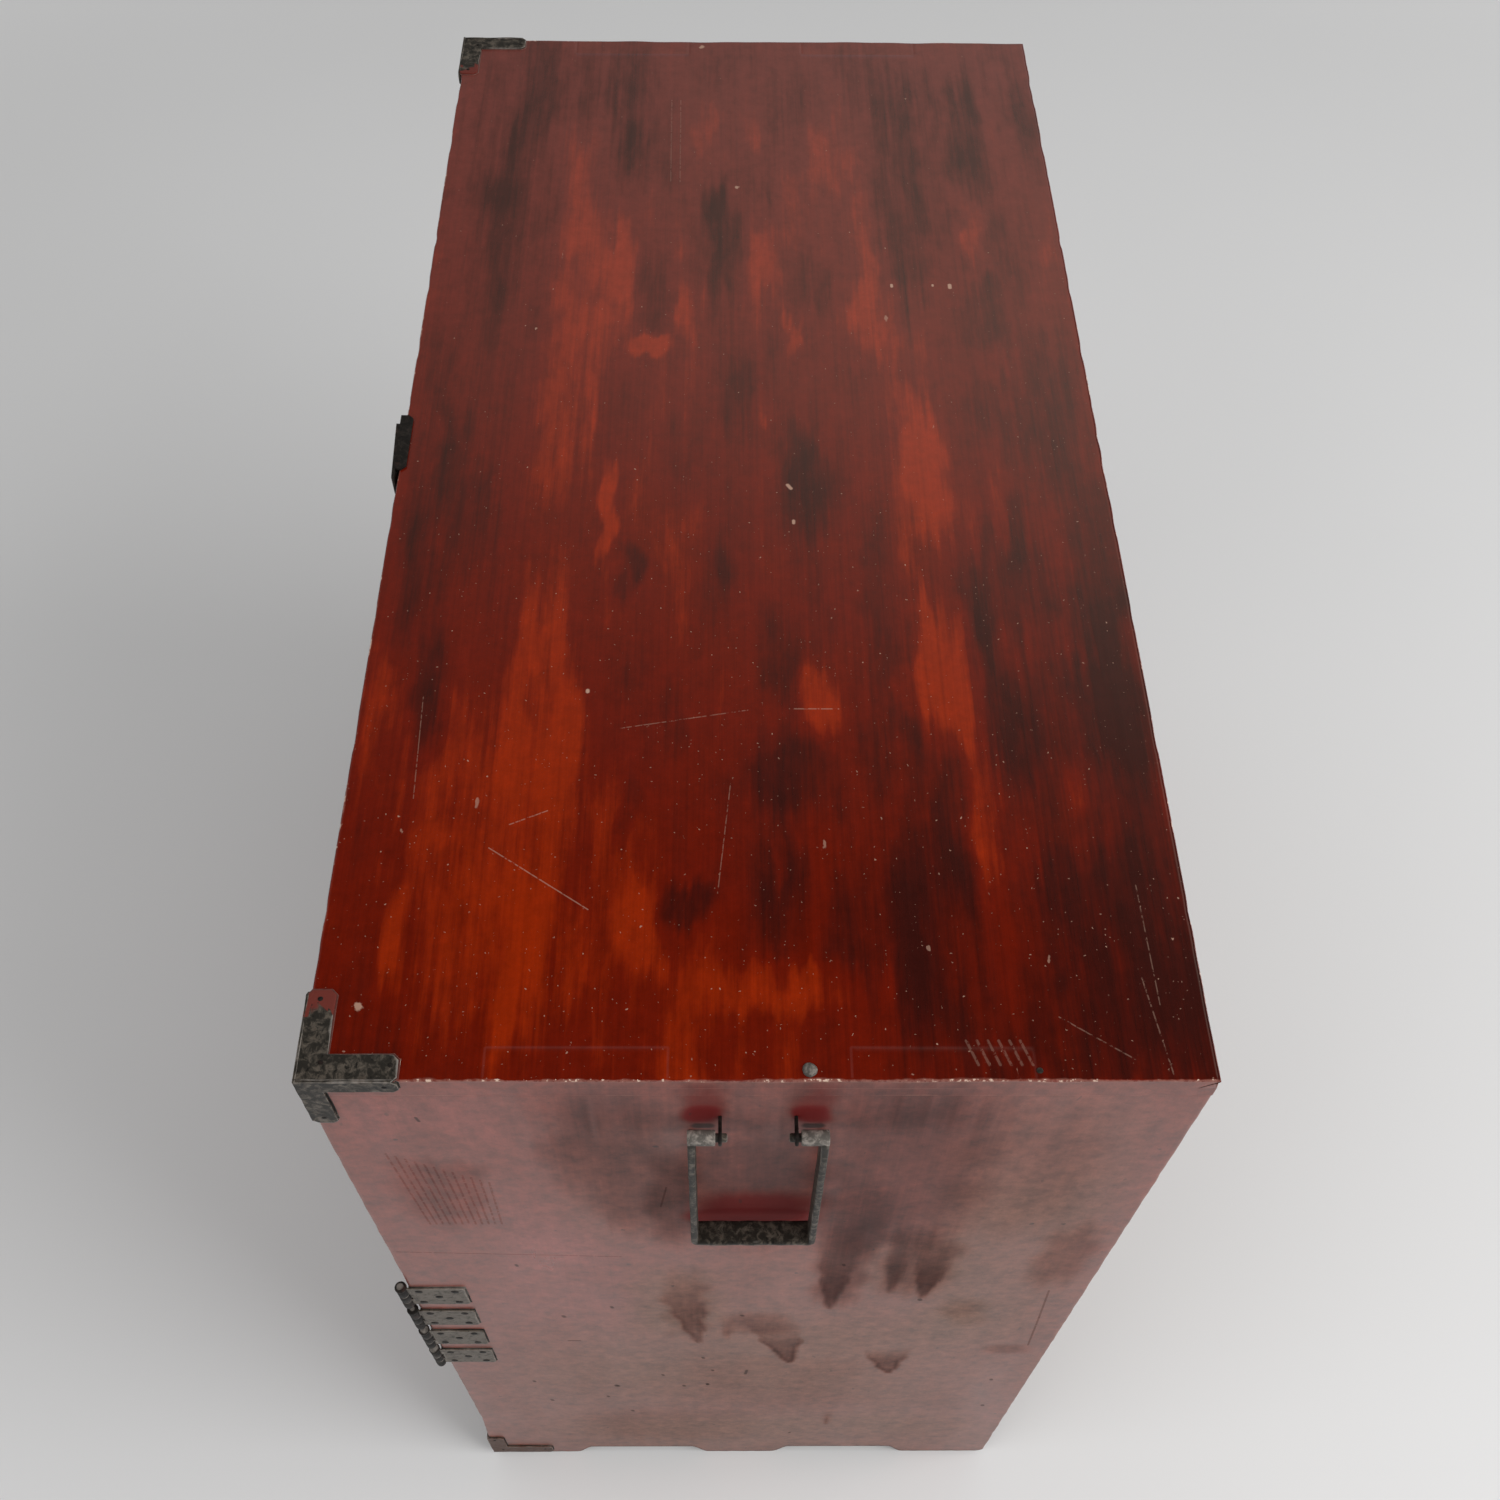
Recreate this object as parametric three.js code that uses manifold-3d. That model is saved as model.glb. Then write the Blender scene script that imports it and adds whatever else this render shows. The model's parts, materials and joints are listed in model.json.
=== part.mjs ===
// A lacquered sea chest with iron mounts: a box-jointed case, three rows of drawers,
// a small safe with an iron-hinged door, and lifting handles on both ends.
// Millimetres, +Z up. The front faces -Y, and the safe is at the +X end.

import * as THREE from "three";
import { mergeVertices } from "three/addons/utils/BufferGeometryUtils.js";
import Module from "manifold-3d";

const wasm = await Module();
wasm.setup();

// Case
const CASE_WIDTH = 909;
const CASE_DEPTH = 454;
const CASE_HEIGHT = 848;
const CASE_BOARD = 18;
const JOINT_FINGERS = 5;
const GLUE_LINE = 0.2;
const BACK_BOARD = 9;
const BACK_SETBACK = 3;
const FLOOR_TOP = 60;
const FLOOR_BOARD = 15;
const APRON_BOTTOM = 23;
const APRON_BOARD = 18;
const SHELF_BOARD = 15;
const DIVIDER_BOARD = 15;
const PARTITION_BOARD = 15;
const BOTTOM_ROW_HEIGHT = 222;
const MIDDLE_ROW_HEIGHT = 246;
const SAFE_WIDTH = 262;
const DOOR_STOP_WIDTH = 8;
const DOOR_STOP_DEPTH = 12;

// Feet, cut out of the lower edge of each side board
const FOOT_LENGTH = 76;
const MIDDLE_FOOT_LENGTH = 59;
const FOOT_CUT_HEIGHT = 21;
const FOOT_SLOPE = 15;
const FOOT_CHAMFER = 4;

// Drawers
const DRAWER_FRONT_BOARD = 18;
const DRAWER_SIDE_BOARD = 9;
const DRAWER_BACK_BOARD = 9;
const DRAWER_FLOOR_BOARD = 6;
const DRAWER_SIDE_GAP = 1.5;
const DRAWER_TOP_GAP = 1.5;
const DRAWER_SEAT_GAP = 0.3;
const DRAWER_REAR_GAP = 8;
const DRAWER_SIDE_DROP = 10;
const DRAWER_FLOOR_LIFT = 3;
const DRAWER_SETBACK = 1;

// Safe door
const DOOR_BOARD = 18;
const DOOR_HINGE_GAP = 1.2;
const DOOR_LOCK_GAP = 1.8;
const DOOR_EDGE_GAP = 1.5;

// Hinges: a leaf on the side board, a leaf on the door, and a pin in a rolled barrel
const HINGE_COUNT = 4;
const HINGE_KNUCKLES = 3;
const HINGE_PITCH = 50.4;
const HINGE_LEAF_HEIGHT = 34;
const HINGE_LEAF_REACH = 38;
const HINGE_DOOR_REACH = 74;
const HINGE_PLATE = 1.4;
const HINGE_LEAF_CHAMFER = 4;
const HINGE_BARREL_HEIGHT = 43;
const HINGE_BARREL_RADIUS = 3.6;
const HINGE_PIN_RADIUS = 1.8;
const HINGE_KNUCKLE_GAP = 0.4;
const HINGE_CAP_RADIUS = 4;
const HINGE_CAP_HEIGHT = 2.4;
const HINGE_AXIS_STANDOFF = 4.2;
const HINGE_TONGUE_GAP = 1;

// Iron mounts
const SEAT_GAP = 0.2;
const IRON_PLATE = 1.5;
const IRON_CHAMFER = 3;
const TOP_IRON_REACH = 51;
const TOP_IRON_WIDTH = 15.5;
const SIDE_IRON_DROP_WIDTH = 13.5;
const SIDE_IRON_TOP_WIDTH = 12;
const BOTTOM_IRON_BASE = 8;
const BOTTOM_IRON_TOP = 63;
const BOTTOM_IRON_BAND = 21;
const BOTTOM_IRON_REACH = 56;
const BOTTOM_IRON_WIDTH = 15;

// Keeper that laps over the top front edge above the lock
const KEEPER_LEFT = -13;
const KEEPER_WIDTH = 49;
const KEEPER_LAP = 6.5;
const KEEPER_LOBE = 3;
const KEEPER_FLANGE_SHIFT = 8;
const KEEPER_FLANGE_HEIGHT = 13;
const KEEPER_FLANGE_REACH = 3.8;

// Lifting handles on the two ends
const END_PIVOT_DROP = 46;
const END_BAIL_WIDTH = 73;
const END_BAIL_DROP = 150;
const END_BAIL_THICKNESS = 4.5;
const END_BAIL_STRAP = 14.4;
const END_BAIL_CORNER = 5;
const END_BAIL_TAPER = 18;
const END_BAIL_KNUCKLE = 14.5;
const END_BAIL_KNUCKLE_RADIUS = 4.2;
const END_BAIL_PIN_RADIUS = 2.4;
const END_PIVOT_STANDOFF = 11;
const END_EYE_WIDTH = 6;
const END_EYE_RADIUS = 4.8;

// Drop handles on the drawers
const PULL_BAIL_WIDTH = 92;
const PULL_BAIL_DROP = 42;
const PULL_BAIL_THICKNESS = 6;
const PULL_BAIL_STRAP = 6;
const PULL_BAIL_CORNER = 9;
const PULL_BAIL_TAPER = 6;
const PULL_BAIL_KNUCKLE = 10;
const PULL_BAIL_KNUCKLE_RADIUS = 2.8;
const PULL_BAIL_PIN_RADIUS = 1.7;
const PULL_PIVOT_STANDOFF = 9;
const PULL_EYE_WIDTH = 5;
const PULL_EYE_RADIUS = 4;
const PULL_PLATE_MARGIN = 7;
const PULL_PLATE_HEIGHT = 22;
const PULL_PLATE_CHAMFER = 6;
const PULL_SPACING = 460;
const PULL_RISE = 12;
const RUNNING_CLEARANCE = 0.3;
const EYE_SIDE_CLEARANCE = 0.4;
const PIN_OVERHANG = 1;

// Locks
const LOCK_PLATE_WIDTH = 96;
const LOCK_PLATE_HEIGHT = 104;
const LOCK_PLATE_CORNER = 18;
const LOCK_PLATE_EDGE = 3;
const LOCK_CENTRE = 20;
const DOOR_LOCK_PLATE_WIDTH = 72;
const DOOR_LOCK_PLATE_HEIGHT = 88;
const KEYHOLE_RADIUS = 3.2;
const KEYHOLE_SLOT_WIDTH = 3;
const KEYHOLE_SLOT_DROP = 11;
const BOLT_WIDTH = 16;
const BOLT_THICKNESS = 4;
const BOLT_LENGTH = 34;
const BOLT_TRAVEL = 8;
const BOLT_CLEARANCE = 0.3;

// Smoothness
const ROUND_SIDES = 16;
const CORNER_STEPS = 4;

// Values that follow from the sizes above
const HALF_WIDTH = CASE_WIDTH / 2;
const HALF_DEPTH = CASE_DEPTH / 2;
const FRONT = -HALF_DEPTH;
const REAR = HALF_DEPTH;
const INNER_HALF_WIDTH = HALF_WIDTH - CASE_BOARD;
const INNER_TOP = CASE_HEIGHT - CASE_BOARD;
const BACK_FRONT = REAR - BACK_SETBACK - BACK_BOARD;
const FITTED_REAR = BACK_FRONT - GLUE_LINE;
const FITTED_HALF_WIDTH = INNER_HALF_WIDTH - GLUE_LINE;
const FLOOR_UNDERSIDE = FLOOR_TOP - FLOOR_BOARD;
const LOWER_SHELF_TOP = FLOOR_TOP + BOTTOM_ROW_HEIGHT + SHELF_BOARD;
const UPPER_SHELF_BOTTOM = LOWER_SHELF_TOP + MIDDLE_ROW_HEIGHT;
const UPPER_SHELF_TOP = UPPER_SHELF_BOTTOM + SHELF_BOARD;
const SAFE_LEFT = INNER_HALF_WIDTH - SAFE_WIDTH;
const PARTITION_LEFT = SAFE_LEFT - PARTITION_BOARD;
const HALF_ROW_HEIGHT = (MIDDLE_ROW_HEIGHT - DIVIDER_BOARD) / 2;
const DIVIDER_BOTTOM = LOWER_SHELF_TOP + HALF_ROW_HEIGHT;
const MIDDLE_ROW_CENTRE = LOWER_SHELF_TOP + MIDDLE_ROW_HEIGHT / 2;
const HINGE_AXIS_X = HALF_WIDTH + SEAT_GAP + HINGE_PLATE / 2;
const HINGE_AXIS_Y = FRONT - HINGE_AXIS_STANDOFF;
const END_PIVOT_HEIGHT = CASE_HEIGHT - END_PIVOT_DROP;
const DRAWER_FACE = FRONT + DRAWER_SETBACK;
const PULL_PIVOT = DRAWER_FACE - IRON_PLATE - PULL_PIVOT_STANDOFF;
const FRONT_REACH = FRONT - PULL_PIVOT + Math.max(PULL_BAIL_STRAP / 2, PULL_EYE_RADIUS);
const OVERRUN = CASE_BOARD;

const QUARTER_TURN = Math.PI / 2;

// Finishes
const lacquer = new THREE.MeshStandardMaterial({ color: 0x6e1e0f, roughness: 0.3, metalness: 0 });
const sideLacquer = new THREE.MeshStandardMaterial({ color: 0x5a2a22, roughness: 0.35, metalness: 0 });
const bareWood = new THREE.MeshStandardMaterial({ color: 0xb08d62, roughness: 0.75, metalness: 0 });
const darkWood = new THREE.MeshStandardMaterial({ color: 0x4a2b1d, roughness: 0.6, metalness: 0 });
const wroughtIron = new THREE.MeshStandardMaterial({ color: 0x34302b, roughness: 0.6, metalness: 0.8 });
const rustedIron = new THREE.MeshStandardMaterial({ color: 0x5b4034, roughness: 0.75, metalness: 0.6 });

// A closed geometry as a solid that can be joined and cut.
function solidOf(geometry) {
  const bare = geometry.clone();
  bare.deleteAttribute("normal");
  bare.deleteAttribute("uv");
  const merged = mergeVertices(bare);
  return new wasm.Manifold(
    new wasm.Mesh({
      numProp: 3,
      vertProperties: new Float32Array(merged.attributes.position.array),
      triVerts: new Uint32Array(merged.index.array),
    }),
  );
}

// A solid back as a geometry with flat-shaded faces.
function geometryOf(solid) {
  const mesh = solid.getMesh();
  const geometry = new THREE.BufferGeometry();
  geometry.setAttribute("position", new THREE.BufferAttribute(new Float32Array(mesh.vertProperties), 3));
  geometry.setIndex(new THREE.BufferAttribute(new Uint32Array(mesh.triVerts), 1));
  const flat = geometry.toNonIndexed();
  flat.computeVertexNormals();
  return flat;
}

function joined(...geometries) {
  return geometryOf(geometries.map(solidOf).reduce((a, b) => a.add(b)));
}

function cut(geometry, ...tools) {
  return geometryOf(tools.map(solidOf).reduce((a, b) => a.subtract(b), solidOf(geometry)));
}

function common(first, second) {
  return geometryOf(solidOf(first).intersect(solidOf(second)));
}

// The same solid on the other side of the plane x = 0, with its faces turned outwards again.
function mirrored(geometry) {
  const other = geometry.index ? geometry.toNonIndexed() : geometry.clone();
  const p = other.attributes.position;
  for (let i = 0; i < p.count; i += 3) {
    const [ax, ay, az] = [p.getX(i + 1), p.getY(i + 1), p.getZ(i + 1)];
    p.setXYZ(i + 1, p.getX(i + 2), p.getY(i + 2), p.getZ(i + 2));
    p.setXYZ(i + 2, ax, ay, az);
  }
  other.scale(-1, 1, 1);
  other.computeVertexNormals();
  return other;
}

function outline(points) {
  return new THREE.Shape(points.map(([a, b]) => new THREE.Vector2(a, b)));
}

function extruded(shape, depth) {
  return new THREE.ExtrudeGeometry(shape, { depth, bevelEnabled: false, curveSegments: CORNER_STEPS });
}

// An outline drawn in (x, y), swept upwards.
function sweptUp(shape, low, high) {
  return extruded(shape, high - low).translate(0, 0, low);
}

// An outline drawn in (x, z), swept from front to rear.
function sweptBack(shape, low, high) {
  return extruded(shape, high - low).rotateX(QUARTER_TURN).translate(0, high, 0);
}

// An outline drawn in (y, z), swept along the length of the case.
function sweptAlong(shape, low, high) {
  const basis = new THREE.Matrix4().makeBasis(
    new THREE.Vector3(0, 1, 0),
    new THREE.Vector3(0, 0, 1),
    new THREE.Vector3(1, 0, 0),
  );
  return extruded(shape, high - low).applyMatrix4(basis).translate(low, 0, 0);
}

function block([x0, x1], [y0, y1], [z0, z1]) {
  return new THREE.BoxGeometry(x1 - x0, y1 - y0, z1 - z0).translate((x0 + x1) / 2, (y0 + y1) / 2, (z0 + z1) / 2);
}

// A round bar along Z, from low to high.
function uprightBar(radius, low, high) {
  return new THREE.CylinderGeometry(radius, radius, high - low, ROUND_SIDES)
    .rotateX(QUARTER_TURN)
    .translate(0, 0, (low + high) / 2);
}

// A round bar along X, between two places.
function lyingBar(radius, one, other) {
  return new THREE.CylinderGeometry(radius, radius, Math.abs(other - one), ROUND_SIDES)
    .rotateZ(QUARTER_TURN)
    .translate((one + other) / 2, 0, 0);
}

function piece(name, geometry, finish) {
  const mesh = new THREE.Mesh(geometry, finish);
  mesh.name = name;
  return mesh;
}

// A plain board, placed by its centre.
function board(name, finish, [x0, x1], [y0, y1], [z0, z1]) {
  const mesh = piece(name, new THREE.BoxGeometry(x1 - x0, y1 - y0, z1 - z0), finish);
  mesh.position.set((x0 + x1) / 2, (y0 + y1) / 2, (z0 + z1) / 2);
  return mesh;
}

// The front and rear of one finger of the box joint.
function fingerSpan(index) {
  const pitch = CASE_DEPTH / JOINT_FINGERS;
  return [FRONT + index * pitch, FRONT + (index + 1) * pitch];
}

// The odd fingers belong to the side boards, and the even ones to the top.
function sideFingers() {
  return Array.from({ length: JOINT_FINGERS }, (_, index) => index).filter((index) => index % 2 === 1);
}

function topBoard() {
  const notches = sideFingers().flatMap((index) => {
    const [front, rear] = fingerSpan(index);
    return [-1, 1].map((side) => {
      const ends = [side * (HALF_WIDTH + OVERRUN), side * FITTED_HALF_WIDTH];
      return block([Math.min(...ends), Math.max(...ends)], [front, rear], [
        INNER_TOP - OVERRUN,
        CASE_HEIGHT + OVERRUN,
      ]);
    });
  });
  const plank = block([-HALF_WIDTH, HALF_WIDTH], [FRONT, REAR], [INNER_TOP, CASE_HEIGHT]);
  return piece("top_board", cut(plank, ...notches, boltMortise()), lacquer);
}

// The slot in the underside of the top that takes the top drawer's bolt.
function boltMortise() {
  const half = BOLT_WIDTH / 2 + BOLT_CLEARANCE;
  const middle = DRAWER_FACE + DRAWER_FRONT_BOARD / 2;
  const thick = BOLT_THICKNESS / 2 + BOLT_CLEARANCE;
  return block(
    [LOCK_CENTRE - half, LOCK_CENTRE + half],
    [middle - thick, middle + thick],
    [INNER_TOP - OVERRUN, INNER_TOP + BOLT_TRAVEL],
  );
}

// The side board's outline in (y, z): three feet below, and its fingers above.
function sideOutline() {
  const shoulder = INNER_TOP - GLUE_LINE;
  const fingers = sideFingers()
    .reverse()
    .flatMap((index) => {
      const [front, rear] = fingerSpan(index);
      return [
        [rear - GLUE_LINE, shoulder],
        [rear - GLUE_LINE, CASE_HEIGHT],
        [front + GLUE_LINE, CASE_HEIGHT],
        [front + GLUE_LINE, shoulder],
      ];
    });
  const middle = MIDDLE_FOOT_LENGTH / 2;
  return outline([
    [FRONT, FOOT_CHAMFER],
    [FRONT + FOOT_CHAMFER, 0],
    [FRONT + FOOT_LENGTH, 0],
    [FRONT + FOOT_LENGTH + FOOT_SLOPE, FOOT_CUT_HEIGHT],
    [-middle - FOOT_SLOPE, FOOT_CUT_HEIGHT],
    [-middle, 0],
    [middle, 0],
    [middle + FOOT_SLOPE, FOOT_CUT_HEIGHT],
    [REAR - FOOT_LENGTH - FOOT_SLOPE, FOOT_CUT_HEIGHT],
    [REAR - FOOT_LENGTH, 0],
    [REAR - FOOT_CHAMFER, 0],
    [REAR, FOOT_CHAMFER],
    [REAR, shoulder],
    ...fingers,
    [FRONT, shoulder],
  ]);
}

function sideBoards() {
  const right = sweptAlong(sideOutline(), INNER_HALF_WIDTH, HALF_WIDTH);
  return [piece("right_side_board", right, sideLacquer), piece("left_side_board", mirrored(right), sideLacquer)];
}

// The upright beside the safe, with the strip that the door closes against.
function safePartition() {
  const upright = [LOWER_SHELF_TOP + GLUE_LINE, UPPER_SHELF_BOTTOM - GLUE_LINE];
  const doorRear = FRONT + DOOR_BOARD;
  const stop = block(
    [PARTITION_LEFT, SAFE_LEFT + DOOR_STOP_WIDTH],
    [doorRear + DOOR_EDGE_GAP, doorRear + DOOR_EDGE_GAP + DOOR_STOP_DEPTH],
    upright,
  );
  const half = BOLT_WIDTH / 2 + BOLT_CLEARANCE;
  const thick = BOLT_THICKNESS / 2 + BOLT_CLEARANCE;
  const middle = FRONT + DOOR_BOARD / 2;
  const mortise = block(
    [SAFE_LEFT + DOOR_LOCK_GAP - BOLT_TRAVEL - BOLT_CLEARANCE, SAFE_LEFT + OVERRUN],
    [middle - thick, middle + thick],
    [MIDDLE_ROW_CENTRE - half, MIDDLE_ROW_CENTRE + half],
  );
  const plank = block([PARTITION_LEFT, SAFE_LEFT], [FRONT, FITTED_REAR], upright);
  return piece("safe_partition", cut(joined(plank, stop), mortise), darkWood);
}

function caseBoards() {
  const across = [-FITTED_HALF_WIDTH, FITTED_HALF_WIDTH];
  const deep = [FRONT, FITTED_REAR];
  return [
    topBoard(),
    ...sideBoards(),
    board("floor_board", bareWood, across, deep, [FLOOR_UNDERSIDE, FLOOR_TOP]),
    board("front_apron", lacquer, across, [FRONT, FRONT + APRON_BOARD], [APRON_BOTTOM, FLOOR_UNDERSIDE - GLUE_LINE]),
    board("back_board", darkWood, across, [BACK_FRONT, BACK_FRONT + BACK_BOARD], [
      FLOOR_UNDERSIDE,
      INNER_TOP - GLUE_LINE,
    ]),
    board("lower_shelf", darkWood, across, deep, [LOWER_SHELF_TOP - SHELF_BOARD, LOWER_SHELF_TOP]),
    board("upper_shelf", darkWood, across, deep, [UPPER_SHELF_BOTTOM, UPPER_SHELF_TOP]),
    board("drawer_divider", darkWood, [-FITTED_HALF_WIDTH, PARTITION_LEFT - GLUE_LINE], deep, [
      DIVIDER_BOTTOM,
      DIVIDER_BOTTOM + DIVIDER_BOARD,
    ]),
    safePartition(),
  ];
}

// One L of plate in its own plane: one arm along +a that is wide in b, one along +b that is wide in a.
function cornerOutline(alongA, alongB, widthOfA, widthOfB) {
  return [
    [0, 0],
    [alongA - IRON_CHAMFER, 0],
    [alongA, IRON_CHAMFER],
    [alongA, widthOfA - IRON_CHAMFER],
    [alongA - IRON_CHAMFER, widthOfA],
    [widthOfB, widthOfA],
    [widthOfB, alongB - IRON_CHAMFER],
    [widthOfB - IRON_CHAMFER, alongB],
    [IRON_CHAMFER, alongB],
    [0, alongB - IRON_CHAMFER],
  ];
}

// The iron that wraps a top front corner over the top, the side and the front.
function topCornerIron() {
  const x = HALF_WIDTH + SEAT_GAP;
  const y = FRONT - SEAT_GAP;
  const z = CASE_HEIGHT + SEAT_GAP;
  const onTop = cornerOutline(TOP_IRON_REACH, TOP_IRON_REACH, TOP_IRON_WIDTH, TOP_IRON_WIDTH);
  const onSide = cornerOutline(TOP_IRON_REACH, TOP_IRON_REACH, SIDE_IRON_TOP_WIDTH, SIDE_IRON_DROP_WIDTH);
  const onFront = cornerOutline(TOP_IRON_REACH, TOP_IRON_REACH, SIDE_IRON_TOP_WIDTH, CASE_BOARD);
  const outerX = x + IRON_PLATE;
  const outerY = y - IRON_PLATE;
  const outerZ = z + IRON_PLATE;
  const top = sweptUp(outline(onTop.map(([a, b]) => [outerX - a, outerY + b])), z, outerZ);
  const side = sweptAlong(outline(onSide.map(([a, b]) => [outerY + a, outerZ - b])), x, outerX);
  const front = sweptBack(outline(onFront.map(([a, b]) => [outerX - a, outerZ - b])), outerY, y);
  return joined(top, side, front);
}

// The iron low on a front corner, on the side and the front.
function bottomCornerIron() {
  const x = HALF_WIDTH + SEAT_GAP;
  const y = FRONT - SEAT_GAP;
  const rise = BOTTOM_IRON_TOP - BOTTOM_IRON_BASE;
  const shape = cornerOutline(BOTTOM_IRON_REACH, rise, BOTTOM_IRON_BAND, BOTTOM_IRON_WIDTH);
  const onSide = shape.map(([a, b]) => [y - IRON_PLATE + a, BOTTOM_IRON_BASE + b]);
  const onFront = shape.map(([a, b]) => [x + IRON_PLATE - a, BOTTOM_IRON_BASE + b]);
  const side = sweptAlong(outline(onSide), x, x + IRON_PLATE);
  const front = sweptBack(outline(onFront), y - IRON_PLATE, y);
  return joined(side, front);
}

function cornerIrons() {
  const top = topCornerIron();
  const bottom = bottomCornerIron();
  return [
    piece("top_right_corner_iron", top, wroughtIron),
    piece("top_left_corner_iron", mirrored(top), wroughtIron),
    piece("bottom_right_corner_iron", bottom, rustedIron),
    piece("bottom_left_corner_iron", mirrored(bottom), rustedIron),
  ];
}

// A strap on the top front edge, with a flange bent down over the lock and sprung forward at one end.
function lockKeeper() {
  const right = KEEPER_LEFT + KEEPER_WIDTH;
  const y = FRONT - SEAT_GAP;
  const z = CASE_HEIGHT + SEAT_GAP;
  const strap = outline([
    [KEEPER_LEFT, y - IRON_PLATE],
    [right, y - IRON_PLATE],
    [right, FRONT + KEEPER_LAP - KEEPER_LOBE],
    [right - KEEPER_LOBE, FRONT + KEEPER_LAP],
    [KEEPER_LEFT + KEEPER_LOBE, FRONT + KEEPER_LAP],
    [KEEPER_LEFT, FRONT + KEEPER_LAP - KEEPER_LOBE],
  ]);
  const flangeLeft = KEEPER_LEFT + KEEPER_FLANGE_SHIFT;
  const flange = outline([
    [flangeLeft, y],
    [flangeLeft, y - KEEPER_FLANGE_REACH],
    [right + KEEPER_FLANGE_SHIFT, y - IRON_PLATE],
    [right + KEEPER_FLANGE_SHIFT, y],
  ]);
  return piece(
    "lock_keeper",
    joined(
      sweptUp(strap, z, z + IRON_PLATE),
      sweptUp(flange, CASE_HEIGHT - KEEPER_FLANGE_HEIGHT, z + IRON_PLATE),
    ),
    wroughtIron,
  );
}

// A U of strap that hangs from two pins. Its pivot is the local X axis, and it faces -Y.
function bailGeometry(size) {
  const half = size.width / 2;
  const inner = half - size.thickness;
  const corner = size.corner;
  const bend = Math.max(corner - size.thickness, corner / 2);
  const foot = -size.drop;
  const shape = new THREE.Shape();
  shape.moveTo(-half, size.knuckleRadius);
  shape.lineTo(-half, foot + corner);
  shape.absarc(-half + corner, foot + corner, corner, Math.PI, 3 * QUARTER_TURN, false);
  shape.absarc(half - corner, foot + corner, corner, 3 * QUARTER_TURN, 2 * Math.PI, false);
  shape.lineTo(half, size.knuckleRadius);
  shape.lineTo(inner, size.knuckleRadius);
  shape.absarc(inner - bend, foot + size.thickness + bend, bend, 0, -QUARTER_TURN, true);
  shape.absarc(-inner + bend, foot + size.thickness + bend, bend, -QUARTER_TURN, -Math.PI, true);
  shape.lineTo(-inner, size.knuckleRadius);
  const strap = sweptBack(shape, -size.strap / 2, size.strap / 2);
  const profile = new THREE.Shape();
  profile.moveTo(-size.strap / 2, foot - size.thickness);
  profile.lineTo(size.strap / 2, foot - size.thickness);
  profile.lineTo(size.strap / 2, -size.taper);
  profile.lineTo(size.knuckleRadius, 0);
  profile.absarc(0, 0, size.knuckleRadius, 0, Math.PI, false);
  profile.lineTo(-size.strap / 2, -size.taper);
  const tapered = common(strap, sweptAlong(profile, -size.width, size.width));
  const knuckleEnd = half - size.knuckle;
  const pinEnd = knuckleEnd - EYE_SIDE_CLEARANCE - size.eyeWidth - PIN_OVERHANG;
  const bars = [-1, 1].flatMap((side) => [
    lyingBar(size.knuckleRadius, side * knuckleEnd, side * half),
    lyingBar(size.pinRadius, side * pinEnd, side * inner),
  ]);
  return joined(tapered, ...bars);
}

// A lug that carries one of the bail's pins, in the same local frame.
function eyeGeometry(size, side) {
  const shape = new THREE.Shape();
  const seat = size.standoff - SEAT_GAP;
  shape.moveTo(seat, -size.eyeRadius);
  shape.lineTo(seat, size.eyeRadius);
  shape.lineTo(0, size.eyeRadius);
  shape.absarc(0, 0, size.eyeRadius, QUARTER_TURN, 3 * QUARTER_TURN, false);
  shape.lineTo(seat, -size.eyeRadius);
  const bore = new THREE.Path();
  bore.absarc(0, 0, size.pinRadius + RUNNING_CLEARANCE, 0, 2 * Math.PI, true);
  shape.holes.push(bore);
  const outer = size.width / 2 - size.knuckle - EYE_SIDE_CLEARANCE;
  const ends = [side * outer, side * (outer - size.eyeWidth)];
  return sweptAlong(shape, Math.min(...ends), Math.max(...ends));
}

const END_HANDLE = {
  width: END_BAIL_WIDTH,
  drop: END_BAIL_DROP,
  thickness: END_BAIL_THICKNESS,
  strap: END_BAIL_STRAP,
  corner: END_BAIL_CORNER,
  taper: END_BAIL_TAPER,
  knuckle: END_BAIL_KNUCKLE,
  knuckleRadius: END_BAIL_KNUCKLE_RADIUS,
  pinRadius: END_BAIL_PIN_RADIUS,
  standoff: END_PIVOT_STANDOFF,
  eyeWidth: END_EYE_WIDTH,
  eyeRadius: END_EYE_RADIUS,
};

const PULL_HANDLE = {
  width: PULL_BAIL_WIDTH,
  drop: PULL_BAIL_DROP,
  thickness: PULL_BAIL_THICKNESS,
  strap: PULL_BAIL_STRAP,
  corner: PULL_BAIL_CORNER,
  taper: PULL_BAIL_TAPER,
  knuckle: PULL_BAIL_KNUCKLE,
  knuckleRadius: PULL_BAIL_KNUCKLE_RADIUS,
  pinRadius: PULL_BAIL_PIN_RADIUS,
  standoff: PULL_PIVOT_STANDOFF,
  eyeWidth: PULL_EYE_WIDTH,
  eyeRadius: PULL_EYE_RADIUS,
};

// The lifting handle of one end: its two eyes stand on the side board.
function endHandle(label, side) {
  const handle = new THREE.Group();
  handle.position.set(side * (HALF_WIDTH + END_PIVOT_STANDOFF), 0, END_PIVOT_HEIGHT);
  handle.rotation.z = side * QUARTER_TURN;
  handle.add(
    piece(`${label}_handle_bail`, bailGeometry(END_HANDLE), wroughtIron),
    piece(`${label}_handle_front_eye`, eyeGeometry(END_HANDLE, -side), wroughtIron),
    piece(`${label}_handle_rear_eye`, eyeGeometry(END_HANDLE, side), wroughtIron),
  );
  return handle;
}

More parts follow.
